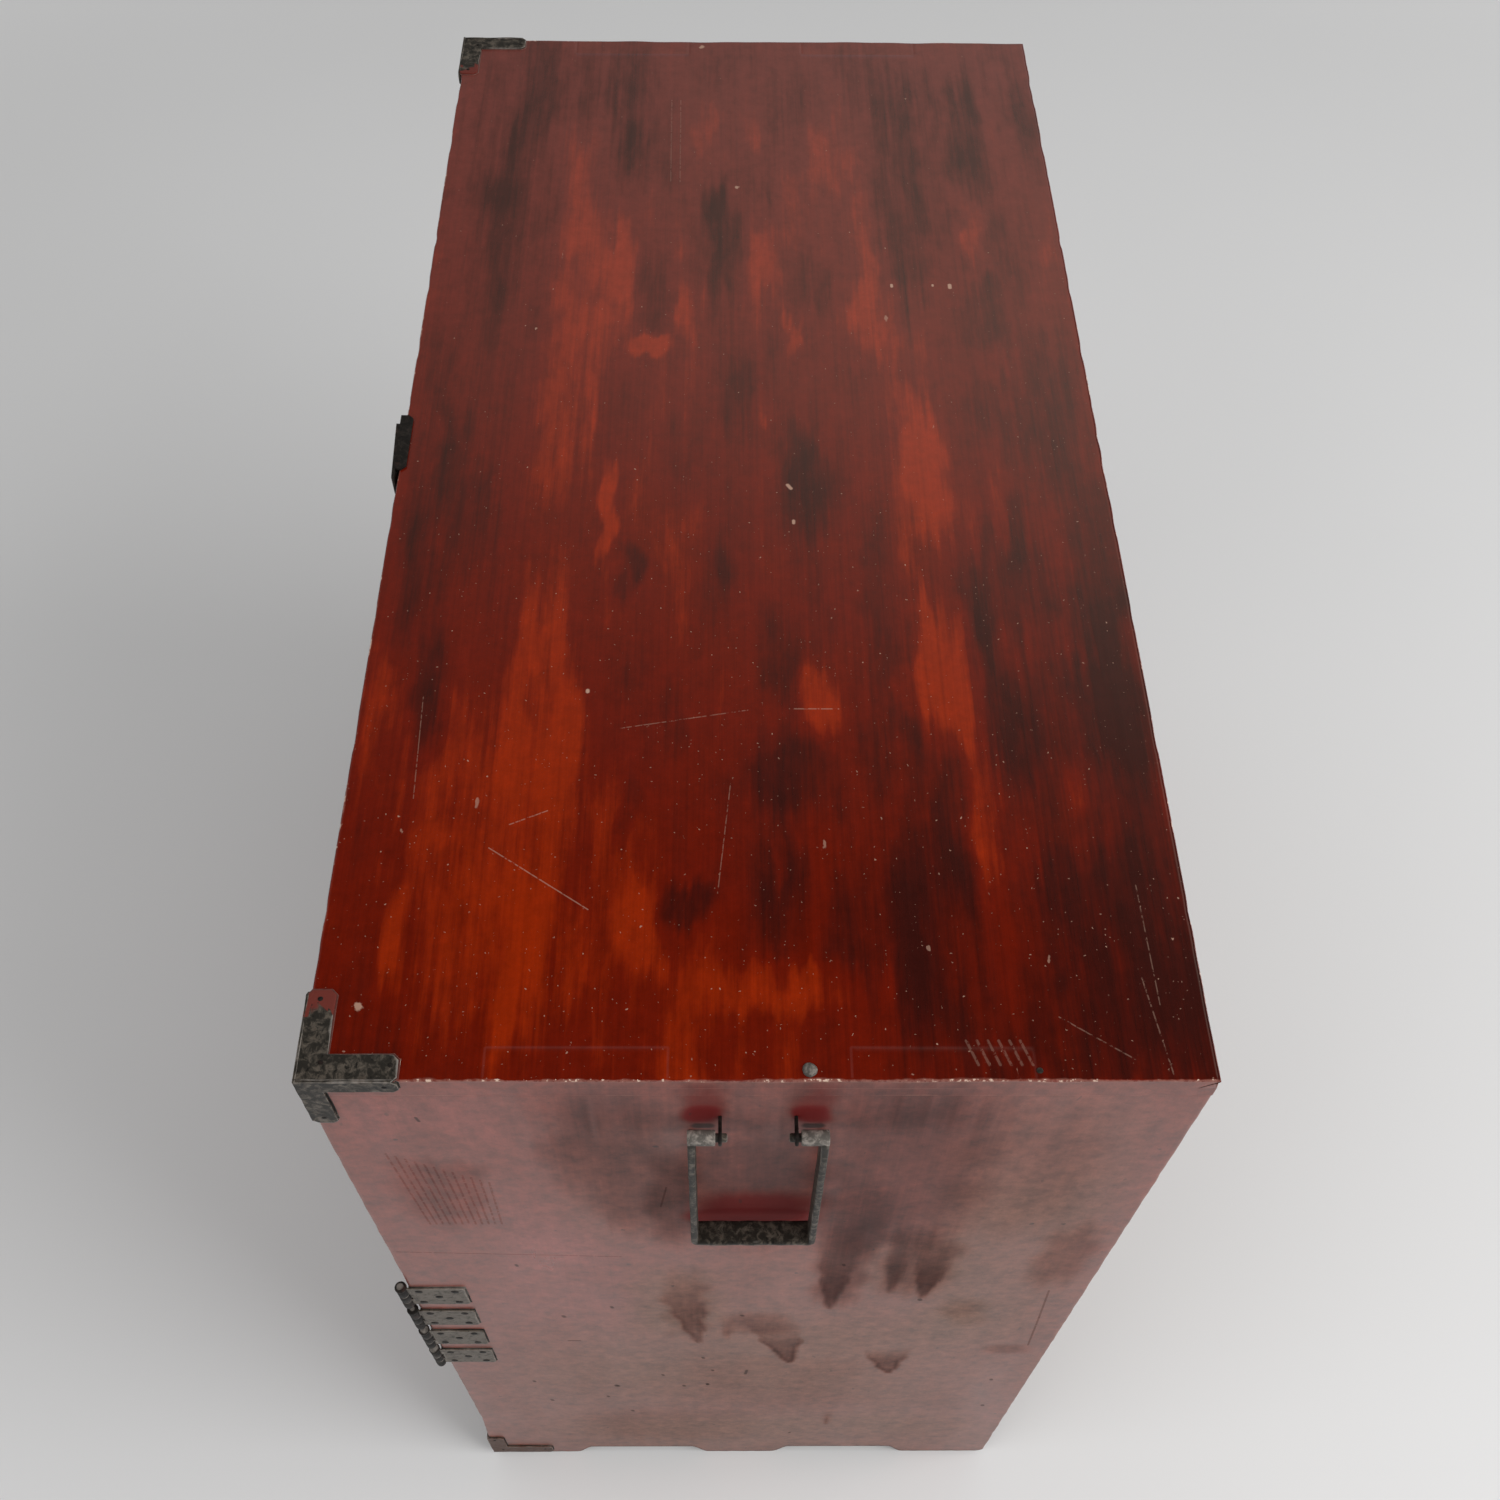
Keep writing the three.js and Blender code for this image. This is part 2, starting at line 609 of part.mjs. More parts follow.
// A drop handle on a drawer: a plate with both eyes forged on it, and the bail.
function pull(label, x, z) {
  const half = PULL_BAIL_WIDTH / 2 + PULL_PLATE_MARGIN;
  const rise = PULL_PLATE_HEIGHT / 2;
  const plate = outline([
    [-half, -rise + PULL_PLATE_CHAMFER],
    [-half + PULL_PLATE_CHAMFER, -rise],
    [half - PULL_PLATE_CHAMFER, -rise],
    [half, -rise + PULL_PLATE_CHAMFER],
    [half, rise - PULL_PLATE_CHAMFER],
    [half - PULL_PLATE_CHAMFER, rise],
    [-half + PULL_PLATE_CHAMFER, rise],
    [-half, rise - PULL_PLATE_CHAMFER],
  ]);
  const seat = PULL_PIVOT_STANDOFF;
  const backing = joined(
    sweptBack(plate, seat - SEAT_GAP, seat - SEAT_GAP + IRON_PLATE),
    eyeGeometry(PULL_HANDLE, -1),
    eyeGeometry(PULL_HANDLE, 1),
  );
  const handle = new THREE.Group();
  handle.position.set(x, PULL_PIVOT, z);
  handle.add(
    piece(`${label}_plate`, backing, wroughtIron),
    piece(`${label}_bail`, bailGeometry(PULL_HANDLE), wroughtIron),
  );
  return handle;
}

// The boards of a drawer that fills an opening of the case front.
function drawerSpans(opening) {
  const [x0, x1] = [opening.left + DRAWER_SIDE_GAP, opening.right - DRAWER_SIDE_GAP];
  const base = opening.bottom + DRAWER_SEAT_GAP;
  const frontTop = opening.top - DRAWER_TOP_GAP;
  const behind = DRAWER_FACE + DRAWER_FRONT_BOARD + GLUE_LINE;
  const end = BACK_FRONT - DRAWER_REAR_GAP;
  const wallTop = frontTop - DRAWER_SIDE_DROP;
  const floorBase = base + DRAWER_FLOOR_LIFT;
  const floorTop = floorBase + DRAWER_FLOOR_BOARD;
  return {
    front: [
      [x0, x1],
      [DRAWER_FACE, DRAWER_FACE + DRAWER_FRONT_BOARD],
      [base, frontTop],
    ],
    left_side: [
      [x0, x0 + DRAWER_SIDE_BOARD],
      [behind, end],
      [base, wallTop],
    ],
    right_side: [
      [x1 - DRAWER_SIDE_BOARD, x1],
      [behind, end],
      [base, wallTop],
    ],
    back: [
      [x0 + DRAWER_SIDE_BOARD + GLUE_LINE, x1 - DRAWER_SIDE_BOARD - GLUE_LINE],
      [end - DRAWER_BACK_BOARD, end],
      [floorTop + GLUE_LINE, wallTop],
    ],
    floor: [
      [x0 + DRAWER_SIDE_BOARD + GLUE_LINE, x1 - DRAWER_SIDE_BOARD - GLUE_LINE],
      [behind, end],
      [floorBase, floorTop],
    ],
  };
}

// Two sides, a back and a floor in one tray, for the small drawers.
function trayGeometry(spans) {
  const [leftX] = spans.left_side;
  const [rightX] = spans.right_side;
  const across = [leftX[1] - GLUE_LINE, rightX[0] + GLUE_LINE];
  const [, backY, backZ] = spans.back;
  const [, floorY, floorZ] = spans.floor;
  return joined(
    block(...spans.left_side),
    block(...spans.right_side),
    block(across, backY, [floorZ[0], backZ[1]]),
    block(across, floorY, floorZ),
  );
}

// A drawer front with the pocket that its bolt slides in.
function lockedFront(span) {
  const half = BOLT_WIDTH / 2 + BOLT_CLEARANCE;
  const thick = BOLT_THICKNESS / 2 + BOLT_CLEARANCE;
  const middle = DRAWER_FACE + DRAWER_FRONT_BOARD / 2;
  const top = span[2][1];
  const pocket = block(
    [LOCK_CENTRE - half, LOCK_CENTRE + half],
    [middle - thick, middle + thick],
    [top - BOLT_LENGTH - BOLT_CLEARANCE, top + OVERRUN],
  );
  return cut(block(...span), pocket);
}

function keyhole(x, z) {
  const path = new THREE.Path();
  const half = KEYHOLE_SLOT_WIDTH / 2;
  const lean = Math.asin(Math.min(half / KEYHOLE_RADIUS, 1));
  path.absarc(x, z, KEYHOLE_RADIUS, lean - QUARTER_TURN, 3 * QUARTER_TURN - lean, false);
  path.lineTo(x - half, z - KEYHOLE_SLOT_DROP);
  path.lineTo(x + half, z - KEYHOLE_SLOT_DROP);
  return path;
}

// A plate with big round lower corners and a keyhole, drawn in (x, z).
function lockPlateShape(x, top, width, height) {
  const half = width / 2;
  const base = top - height;
  const shape = new THREE.Shape();
  shape.moveTo(x - half, top);
  shape.lineTo(x - half, base + LOCK_PLATE_CORNER);
  shape.absarc(x - half + LOCK_PLATE_CORNER, base + LOCK_PLATE_CORNER, LOCK_PLATE_CORNER, Math.PI, 3 * QUARTER_TURN);
  shape.absarc(x + half - LOCK_PLATE_CORNER, base + LOCK_PLATE_CORNER, LOCK_PLATE_CORNER, -QUARTER_TURN, 0);
  shape.lineTo(x + half, top);
  shape.holes.push(keyhole(x, top - height / 2));
  return shape;
}

function fullDrawer(label, opening, locked) {
  const drawer = new THREE.Group();
  const spans = drawerSpans(opening);
  const front = locked ? lockedFront(spans.front) : block(...spans.front);
  drawer.add(piece(`${label}_front`, front, lacquer));
  for (const part of ["left_side", "right_side", "back", "floor"])
    drawer.add(board(`${label}_${part}`, bareWood, ...spans[part]));
  const height = (opening.bottom + opening.top) / 2 + PULL_RISE;
  drawer.add(pull(`${label}_left_pull`, -PULL_SPACING / 2, height));
  drawer.add(pull(`${label}_right_pull`, PULL_SPACING / 2, height));
  if (locked) drawer.add(...drawerLock(label, spans.front[2][1]));
  return drawer;
}

function drawerLock(label, frontTop) {
  const shape = lockPlateShape(LOCK_CENTRE, frontTop - LOCK_PLATE_EDGE, LOCK_PLATE_WIDTH, LOCK_PLATE_HEIGHT);
  const seat = DRAWER_FACE - SEAT_GAP;
  const middle = DRAWER_FACE + DRAWER_FRONT_BOARD / 2;
  return [
    piece(`${label}_lock_plate`, sweptBack(shape, seat - IRON_PLATE, seat), wroughtIron),
    board(
      `${label}_bolt`,
      wroughtIron,
      [LOCK_CENTRE - BOLT_WIDTH / 2, LOCK_CENTRE + BOLT_WIDTH / 2],
      [middle - BOLT_THICKNESS / 2, middle + BOLT_THICKNESS / 2],
      [frontTop - BOLT_LENGTH, frontTop],
    ),
  ];
}

function smallDrawer(label, opening) {
  const drawer = new THREE.Group();
  const spans = drawerSpans(opening);
  drawer.add(
    piece(`${label}_front`, block(...spans.front), lacquer),
    piece(`${label}_tray`, trayGeometry(spans), bareWood),
    pull(`${label}_pull`, (opening.left + opening.right) / 2, (opening.bottom + opening.top) / 2 + PULL_RISE),
  );
  return drawer;
}

// The safe's door, with its lock. The hinges are fitted separately.
function safeDoor() {
  const left = SAFE_LEFT + DOOR_LOCK_GAP;
  const span = [
    [left, INNER_HALF_WIDTH - DOOR_HINGE_GAP],
    [FRONT, FRONT + DOOR_BOARD],
    [LOWER_SHELF_TOP + DOOR_EDGE_GAP, UPPER_SHELF_BOTTOM - DOOR_EDGE_GAP],
  ];
  const half = BOLT_WIDTH / 2 + BOLT_CLEARANCE;
  const thick = BOLT_THICKNESS / 2 + BOLT_CLEARANCE;
  const middle = FRONT + DOOR_BOARD / 2;
  const pocket = block(
    [left - OVERRUN, left + BOLT_LENGTH + BOLT_CLEARANCE],
    [middle - thick, middle + thick],
    [MIDDLE_ROW_CENTRE - half, MIDDLE_ROW_CENTRE + half],
  );
  const shape = lockPlateShape(
    left + LOCK_PLATE_EDGE + DOOR_LOCK_PLATE_WIDTH / 2,
    MIDDLE_ROW_CENTRE + DOOR_LOCK_PLATE_HEIGHT / 2,
    DOOR_LOCK_PLATE_WIDTH,
    DOOR_LOCK_PLATE_HEIGHT,
  );
  const door = new THREE.Group();
  door.add(
    piece("safe_door_board", cut(block(...span), pocket), lacquer),
    piece("safe_door_lock_plate", sweptBack(shape, FRONT - SEAT_GAP - IRON_PLATE, FRONT - SEAT_GAP), wroughtIron),
    board(
      "safe_door_bolt",
      wroughtIron,
      [left, left + BOLT_LENGTH],
      [middle - BOLT_THICKNESS / 2, middle + BOLT_THICKNESS / 2],
      [MIDDLE_ROW_CENTRE - BOLT_WIDTH / 2, MIDDLE_ROW_CENTRE + BOLT_WIDTH / 2],
    ),
  );
  return door;
}

// A leaf drawn as a plate whose far corners are chamfered: a runs away from the barrel.
function leafOutline(start, reach) {
  const rise = HINGE_LEAF_HEIGHT / 2;
  return [
    [start, -rise],
    [reach - HINGE_LEAF_CHAMFER, -rise],
    [reach, -rise + HINGE_LEAF_CHAMFER],
    [reach, rise - HINGE_LEAF_CHAMFER],
    [reach - HINGE_LEAF_CHAMFER, rise],
    [start, rise],
  ];
}

// Local frame: the pin is the Z axis, and the middle of the barrel is at z = 0.
// The case leaf runs back along the side board, and carries the outer knuckles and the pin.
function caseLeaf() {
  const half = HINGE_BARREL_HEIGHT / 2;
  const knuckle = HINGE_BARREL_HEIGHT / HINGE_KNUCKLES;
  const middle = knuckle / 2;
  const reach = HINGE_AXIS_STANDOFF + HINGE_LEAF_REACH;
  const shape = outline(leafOutline(0, reach));
  const plate = sweptAlong(shape, -HINGE_PLATE / 2, HINGE_PLATE / 2);
  const room = HINGE_BARREL_RADIUS + HINGE_TONGUE_GAP;
  const window = block([-room, room], [-room, room], [-middle, middle]);
  return joined(
    cut(plate, window),
    uprightBar(HINGE_BARREL_RADIUS, middle, half),
    uprightBar(HINGE_BARREL_RADIUS, -half, -middle),
    uprightBar(HINGE_PIN_RADIUS, -half, half),
    uprightBar(HINGE_CAP_RADIUS, half, half + HINGE_CAP_HEIGHT),
  );
}

// The door leaf: the middle knuckle, a tongue, and a plate that crosses to the door.
function doorLeaf() {
  const band = HINGE_BARREL_HEIGHT / HINGE_KNUCKLES / 2 - HINGE_KNUCKLE_GAP;
  const rear = HINGE_AXIS_STANDOFF - SEAT_GAP;
  const front = rear - HINGE_PLATE;
  const clear = HINGE_BARREL_RADIUS + HINGE_TONGUE_GAP;
  const shape = outline(leafOutline(clear, HINGE_DOOR_REACH).map(([a, b]) => [-a, b]));
  const tongue = block([-clear - HINGE_TONGUE_GAP, 0], [front, rear], [-band, band]);
  const sleeve = uprightBar(HINGE_BARREL_RADIUS, -band, band);
  const bore = uprightBar(HINGE_PIN_RADIUS + RUNNING_CLEARANCE, -HINGE_BARREL_HEIGHT, HINGE_BARREL_HEIGHT);
  return cut(joined(sweptBack(shape, front, rear), tongue, sleeve), bore);
}

function hinges() {
  const first = MIDDLE_ROW_CENTRE + ((HINGE_COUNT - 1) * HINGE_PITCH) / 2;
  return Array.from({ length: HINGE_COUNT }, (_, index) => {
    const hinge = new THREE.Group();
    hinge.position.set(HINGE_AXIS_X, HINGE_AXIS_Y, first - index * HINGE_PITCH);
    hinge.add(
      piece(`hinge_${index + 1}_case_leaf`, caseLeaf(), wroughtIron),
      piece(`hinge_${index + 1}_door_leaf`, doorLeaf(), wroughtIron),
    );
    return hinge;
  });
}

const chest = new THREE.Group();
chest.add(...caseBoards(), ...cornerIrons(), lockKeeper());
chest.add(endHandle("right", 1), endHandle("left", -1));
chest.add(
  fullDrawer(
    "top_drawer",
    { left: -INNER_HALF_WIDTH, right: INNER_HALF_WIDTH, bottom: UPPER_SHELF_TOP, top: INNER_TOP },
    true,
  ),
);
chest.add(
  smallDrawer("upper_small_drawer", {
    left: -INNER_HALF_WIDTH,
    right: PARTITION_LEFT,
    bottom: DIVIDER_BOTTOM + DIVIDER_BOARD,
    top: UPPER_SHELF_BOTTOM,
  }),
);
chest.add(
  smallDrawer("lower_small_drawer", {
    left: -INNER_HALF_WIDTH,
    right: PARTITION_LEFT,
    bottom: LOWER_SHELF_TOP,
    top: DIVIDER_BOTTOM,
  }),
);
chest.add(
  fullDrawer(
    "bottom_drawer",
    {
      left: -INNER_HALF_WIDTH,
      right: INNER_HALF_WIDTH,
      bottom: FLOOR_TOP,
      top: LOWER_SHELF_TOP - SHELF_BOARD,
    },
    false,
  ),
);
chest.add(safeDoor(), ...hinges());

// The origin is on the floor, under the middle of everything that the chest reaches.
chest.position.y = FRONT_REACH / 2;

export default chest;
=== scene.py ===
"""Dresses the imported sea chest: worn lacquer, beaten iron and bare wood around the frame's own places."""

import json
import logging
import math
from dataclasses import dataclass, replace
from enum import Enum

import bpy
import numpy as np
from bpy.types import Material, Node, NodeSocket, NodeTree, Object
from mathutils import Matrix, Vector


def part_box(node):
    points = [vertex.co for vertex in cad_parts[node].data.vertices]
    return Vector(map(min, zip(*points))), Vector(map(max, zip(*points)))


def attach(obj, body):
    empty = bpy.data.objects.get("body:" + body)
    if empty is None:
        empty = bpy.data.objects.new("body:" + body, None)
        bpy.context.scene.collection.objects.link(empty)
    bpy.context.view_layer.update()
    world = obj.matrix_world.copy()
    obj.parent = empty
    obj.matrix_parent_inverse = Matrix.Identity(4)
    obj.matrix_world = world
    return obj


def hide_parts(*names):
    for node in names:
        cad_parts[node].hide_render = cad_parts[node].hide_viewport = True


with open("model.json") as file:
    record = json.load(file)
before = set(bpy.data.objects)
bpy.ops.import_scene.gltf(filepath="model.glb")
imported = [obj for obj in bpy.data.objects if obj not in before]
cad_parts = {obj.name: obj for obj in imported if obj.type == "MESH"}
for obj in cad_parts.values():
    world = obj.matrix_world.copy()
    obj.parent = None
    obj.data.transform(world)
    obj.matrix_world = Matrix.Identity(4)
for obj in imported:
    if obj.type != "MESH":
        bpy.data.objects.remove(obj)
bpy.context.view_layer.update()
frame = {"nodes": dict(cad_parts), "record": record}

log = logging.getLogger("chest")

MM = 0.001
SMALL_DRAWERS = ("upper_small_drawer", "lower_small_drawer")
WIDE_PULLS = {drawer: (f"{drawer}_left", f"{drawer}_right") for drawer in ("top_drawer", "bottom_drawer")}
EDGE_REACH = 12.0
QUARTER_TURN = np.linspace(0, np.pi / 2, 4)
Points = np.ndarray
Spot = tuple[float, float]
Place = tuple[float, float, float]
Colour = tuple[float, float, float]
Value = float | tuple[float, ...] | NodeSocket


@dataclass(frozen=True)
class CaseFrame:
    """The chest's own frame: millimetres, x and y from the middle of the case, and z from the floor."""

    width: float
    depth: float
    height: float
    shift: float

    @classmethod
    def from_cad(cls) -> "CaseFrame":
        """Reads the case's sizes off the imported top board."""
        low, high = (np.array(corner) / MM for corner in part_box("top_board"))
        return cls(high[0] - low[0], high[1] - low[1], high[2], (low[1] + high[1]) / 2)

    @property
    def front(self) -> float:
        """The y of the case's front edges."""
        return -self.depth / 2

    @property
    def rear(self) -> float:
        """The y of the case's rear edges."""
        return self.depth / 2

    @property
    def end(self) -> float:
        """The x of the right-hand end."""
        return self.width / 2

    def metres(self, points: Points | Place) -> Points:
        """Turns points of the case into the scene's metres."""
        return (np.asarray(points, float) + (0, self.shift, 0)) * MM

    def box(self, node: str) -> tuple[Points, Points]:
        """A CAD node's lowest and highest corners, in the case's millimetres."""
        low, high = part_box(node)
        return np.array(low) / MM - (0, self.shift, 0), np.array(high) / MM - (0, self.shift, 0)


CASE = CaseFrame.from_cad()


class Side(Enum):
    """One end of the chest."""

    RIGHT = 1
    LEFT = -1

    @property
    def label(self) -> str:
        """The word that the node names use."""
        return self.name.lower()


class Facing(Enum):
    """The plane that a plate or board lies in, as (first, second, normal) axes."""

    UP = (0, 1, 2)
    FRONT = (0, 2, 1)
    END = (1, 2, 0)

    def place(self, a: Points, b: Points, c: Points) -> Points:
        """Puts coordinates along the two axes of the plane, and along its normal, into x, y and z."""
        placed = np.empty((*np.broadcast(a, b, c).shape, 3))
        for axis, values in zip(self.value, (a, b, c)):
            placed[..., axis] = values
        return placed


class Grain(Enum):
    """The way the wood runs: 1 marks the axis along it."""

    ACROSS = (1, 0, 0)
    DEEP = (0, 1, 0)
    UPRIGHT = (0, 0, 1)

    def stretch(self, along: float, ratio: float) -> tuple[float, ...]:
        """Waves for each metre along the grain, and ratio times as many the other ways."""
        return tuple(along if here else along * ratio for here in self.value)


def wander(t: Points, waves: float, seed: int, terms: int = 5) -> Points:
    """A smooth wandering value, mostly between -1 and 1: a sum of sines of random rate and phase.

    Args:
        t: Where to work it out.
        waves: Roughly how many waves fit in one unit of t.
        seed: Which wander it is.
        terms: How many sines are added.

    Returns:
        One value for each t.
    """
    rng = np.random.default_rng(seed)
    rates = waves * rng.uniform(0.5, 1.8, terms) * 2 * np.pi
    phases = rng.uniform(0, 2 * np.pi, terms)
    return np.sin(np.asarray(t)[..., None] * rates + phases).sum(-1) / math.sqrt(terms)


def field_noise(points: Points, waves: float, seed: int, terms: int = 10) -> Points:
    """A smooth random value over space: a sum of plane waves in random directions."""
    rng = np.random.default_rng(seed)
    ways = rng.normal(size=(terms, 3))
    ways *= (waves * 2 * np.pi * rng.uniform(0.5, 1.6, terms) / np.linalg.norm(ways, axis=1))[:, None]
    return np.sin(points @ ways.T + rng.uniform(0, 2 * np.pi, terms)).sum(-1) / math.sqrt(terms / 2)


def smoothstep(low: float, high: float, value: Points) -> Points:
    """0 under low, 1 over high, and an S between them."""
    t = np.clip((value - low) / (high - low), 0, 1)
    return t * t * (3 - 2 * t)


@dataclass
class Shell:
    """One closed surface, with what the finishes read from its points.

    Attributes:
        points: Its points, in the case's millimetres.
        quads: Four point numbers for each face of its rings.
        caps: The point numbers of each end face.
        edge: Millimetres to the nearest edge, by point.
        tone: How dark the finish is there, or how pale if negative.
        dust_and_shade: How much grey dust or scuffing lies there, and below nothing how deep a painted
            reflection shade is.
        quad_slots: The finish's number for each quad.
        cap_slots: The finish's number for each cap.
    """

    points: Points
    quads: Points
    caps: list[Points]
    edge: Points
    tone: Points
    dust_and_shade: Points
    quad_slots: Points
    cap_slots: tuple[int, ...]

    def __post_init__(self) -> None:
        """Turns the faces outwards."""
        if self.volume() < 0:
            self.quads = self.quads[:, ::-1]
            self.caps = [cap[::-1] for cap in self.caps]

    def refinish(self, slot: int) -> None:
        """Gives every face one finish."""
        self.quad_slots, self.cap_slots = np.full_like(self.quad_slots, slot), (slot, slot)

    def volume(self) -> float:
        """The signed volume: a sixth of the sum of the triple products of a fan over each face."""
        faces = [self.quads[:, (0, 1, 2)], self.quads[:, (0, 2, 3)]]
        faces += [np.stack([np.full(len(c) - 2, c[0]), c[1:-1], c[2:]], -1) for c in self.caps]
        a, b, c = np.moveaxis(self.points[np.concatenate(faces)], 1, 0)
        return float(np.einsum("ij,ij->", a, np.cross(b, c)) / 6)


def ring_shell(
    rings: Points,
    edge: Points | float = 9.0,
    tone: Points | float = 0.0,
    dust_and_shade: Points | float = 0.0,
    slots: Points | int = 0,
    cap_slots: tuple[int, int] = (0, 0),
) -> Shell:
    """Joins rings of points into a closed surface: quads between neighbours, and one flat cap at each end.

    Args:
        rings: Points by ring, then around the ring.
        edge: Millimetres to the nearest edge, by ring and around.
        tone: How pale or dark the finish is there, by ring and around.
        dust_and_shade: How dusty it is there, and below nothing how deep a painted reflection shade is, by
            ring and around.
        slots: The finish's number, by ring but the last and around.
        cap_slots: The finishes of the first and the last cap.

    Returns:
        The closed shell.
    """
    count, around, _ = rings.shape
    index = np.arange(count * around).reshape(count, around)
    ahead = np.roll(index, -1, axis=1)
    quads = np.stack([index[:-1], ahead[:-1], ahead[1:], index[1:]], -1).reshape(-1, 4)
    marks = [np.broadcast_to(mark, (count, around)).reshape(-1) for mark in (edge, tone, dust_and_shade)]
    quad_slots = np.broadcast_to(slots, (count - 1, around)).reshape(-1)
    return Shell(rings.reshape(-1, 3), quads, [index[0][::-1], index[-1]], *marks, quad_slots, cap_slots)


@dataclass
class Piece:
    """A named part of the chest, made of closed shells, that rides on one body."""

    name: str
    body: str
    slot: str
    finishes: list[Material]
    shells: list[Shell]
    replaced: tuple[str, ...] = ()

    def build(self) -> Object:
        """Writes the shells into one mesh, in metres, and fits it to the frame.

        Returns:
            The finished object, which sits at the origin.
        """
        starts = np.cumsum([0] + [len(s.points) for s in self.shells])
        loops, totals, slots, smooth = [], [], [], []
        for shell, start in zip(self.shells, starts):
            loops += [shell.quads.reshape(-1) + start, *(cap + start for cap in shell.caps)]
            totals += [np.full(len(shell.quads), 4), [len(cap) for cap in shell.caps]]
            slots += [shell.quad_slots, shell.cap_slots]
            smooth += [np.ones(len(shell.quads), bool), np.zeros(len(shell.caps), bool)]
        points = CASE.metres(np.concatenate([s.points for s in self.shells]))
        corner, total = np.concatenate(loops), np.concatenate(totals)
        mesh = bpy.data.meshes.new(self.name)
        mesh.vertices.add(len(points))
        mesh.vertices.foreach_set("co", points.astype(np.float32).reshape(-1))
        mesh.loops.add(len(corner))
        mesh.loops.foreach_set("vertex_index", corner.astype(np.int32))
        mesh.polygons.add(len(total))
        mesh.polygons.foreach_set("loop_start", np.concatenate([[0], np.cumsum(total)[:-1]]).astype(np.int32))
        mesh.polygons.foreach_set("loop_total", total.astype(np.int32))
        mesh.polygons.foreach_set("material_index", np.concatenate(slots).astype(np.int32))
        mesh.polygons.foreach_set("use_smooth", np.concatenate(smooth))
        labels = ("edge", "tone", "dust_and_shade")
        edge, tone, dust_and_shade = (np.concatenate([getattr(s, label) for s in self.shells]) for label in labels)
        for label, values in (("rim", np.clip(1 - edge / EDGE_REACH, 0, 1)), ("tone", tone), ("dust_and_shade", dust_and_shade)):
            layer = mesh.attributes.new(label, "FLOAT", "POINT")
            layer.data.foreach_set("value", values.astype(np.float32))
        mesh.update(calc_edges=True)
        for finish in self.finishes:
            mesh.materials.append(finish)
        made = bpy.data.objects.new(self.name, mesh)
        bpy.context.scene.collection.objects.link(made)
        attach(made, self.body)
        if self.replaced:
            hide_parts(*self.replaced)
        log.info("%s: %d faces on %s", self.name, len(total), self.body)
        return made


def resampled(corners: Points, step: float) -> tuple[Points, Points, float]:
    """Points along a closed outline, about a step apart.

    A point a share s along an edge gets the mean, by s, of the inward vectors at the edge's two corners, so
    outlines that are drawn in along these vectors keep straight edges and never fold.

    Args:
        corners: The outline's corners.
        step: The spacing.

    Returns:
        The points, the inward vectors at them, and how far the outline can be drawn in.
    """
    inward, ahead = mitred(corners), np.roll(corners, -1, 0)
    length = np.linalg.norm(ahead - corners, axis=1)
    counts = np.maximum(1, np.round(length / step)).astype(int)
    first = np.repeat(np.arange(len(corners)), counts)
    since = np.arange(counts.sum()) - np.repeat(np.cumsum(counts) - counts, counts)
    share = (since / counts[first])[:, None]
    both = np.hstack([corners, inward])
    mixed = both[first] * (1 - share) + both[(first + 1) % len(corners)] * share
    closing = -((np.roll(inward, -1, 0) - inward) * (ahead - corners)).sum(1) / length
    return mixed[:, :2], mixed[:, 2:], 0.9 * float((length / np.maximum(closing, 1e-6)).min())


def mitred(outline: Points) -> Points:
    """Vectors into a closed outline at its points, each a unit away from both of the edges that meet there.

    With the inward unit normals m and n of the two edges, the vector is (m + n) / (1 + m.n).
    """
    run = np.roll(outline, -1, 0) - outline
    run /= np.linalg.norm(run, axis=1, keepdims=True)
    area = (outline[:, 0] * np.roll(outline[:, 1], -1) - outline[:, 1] * np.roll(outline[:, 0], -1)).sum()
    ahead = np.stack([-run[:, 1], run[:, 0]], -1) * np.sign(area)
    behind = np.roll(ahead, 1, 0)
    return (ahead + behind) / (1 + (ahead * behind).sum(1, keepdims=True))


@dataclass(frozen=True)
class PlateForm:
    """How a board or a plate is rounded off from its outline.

    Attributes:
        radius: The rounding of its edges.
        wear: How far the rounding wanders, as a share.
        wobble: How far the outline itself wanders inwards.
        step: The spacing of points along the outline.
        insets: Rings of points further in on both faces, for the finishes' sake.
        sharpest: The least rounding of an edge.
        fullest: The most, as a share of the thickness.
    """

    radius: float
    wear: float = 0.4
    wobble: float = 0.0
    step: float = 4.0
    insets: tuple[float, ...] = (3.0, 1.2)
    sharpest: float = 0.1
    fullest: float = 0.45

    def shell(self, corners: Points, low: float, high: float, facing: Facing, seed: int) -> Shell:
        """A plate of this form.

        The outline is offset inwards by r(1 - cos t) as it climbs by r(1 - sin t), so each edge is a
        quarter round.

        Args:
            corners: The outline's corners in the plane.
            low: Where it starts along the normal.
            high: Where it ends along the normal.
            facing: The plane.
            seed: Which wear it gets.

        Returns:
            The closed plate.
        """
        thick = high - low
        line, turned, deepest = resampled(np.asarray(corners, float), self.step)
        run = np.arange(len(line)) / len(line)
        waves = max(3.0, len(line) * self.step / 40)
        line = line + turned * (self.wobble * 0.5 * (1 + np.clip(wander(run, waves, seed), -1, 1)))[:, None]
        worn = 1 + self.wear * wander(run, waves, seed + 1)
        radius = np.clip(self.radius * worn, self.sharpest, thick * self.fullest)
        arc = QUARTER_TURN[::-1]
        flat = [radius + extra for extra in self.insets] + [radius * (1 - math.cos(t)) for t in arc]
        heights = [0 * radius] * len(self.insets) + [radius * (1 - math.sin(t)) for t in arc]
        edges = [*self.insets, 0.4, 0.1, 0.1, 0.4]
        rows = np.minimum(np.stack([*flat, 0 * radius, *flat[::-1]]), deepest - self.wobble)
        climb = np.stack([*heights, 0 * radius + thick / 2, *(thick - h for h in heights[::-1])])
        spread = line[None] + turned[None] * rows[..., None]
        rings = facing.place(spread[..., 0], spread[..., 1], low + climb)
        return ring_shell(rings, np.array([*edges, thick / 2, *edges[::-1]])[:, None])


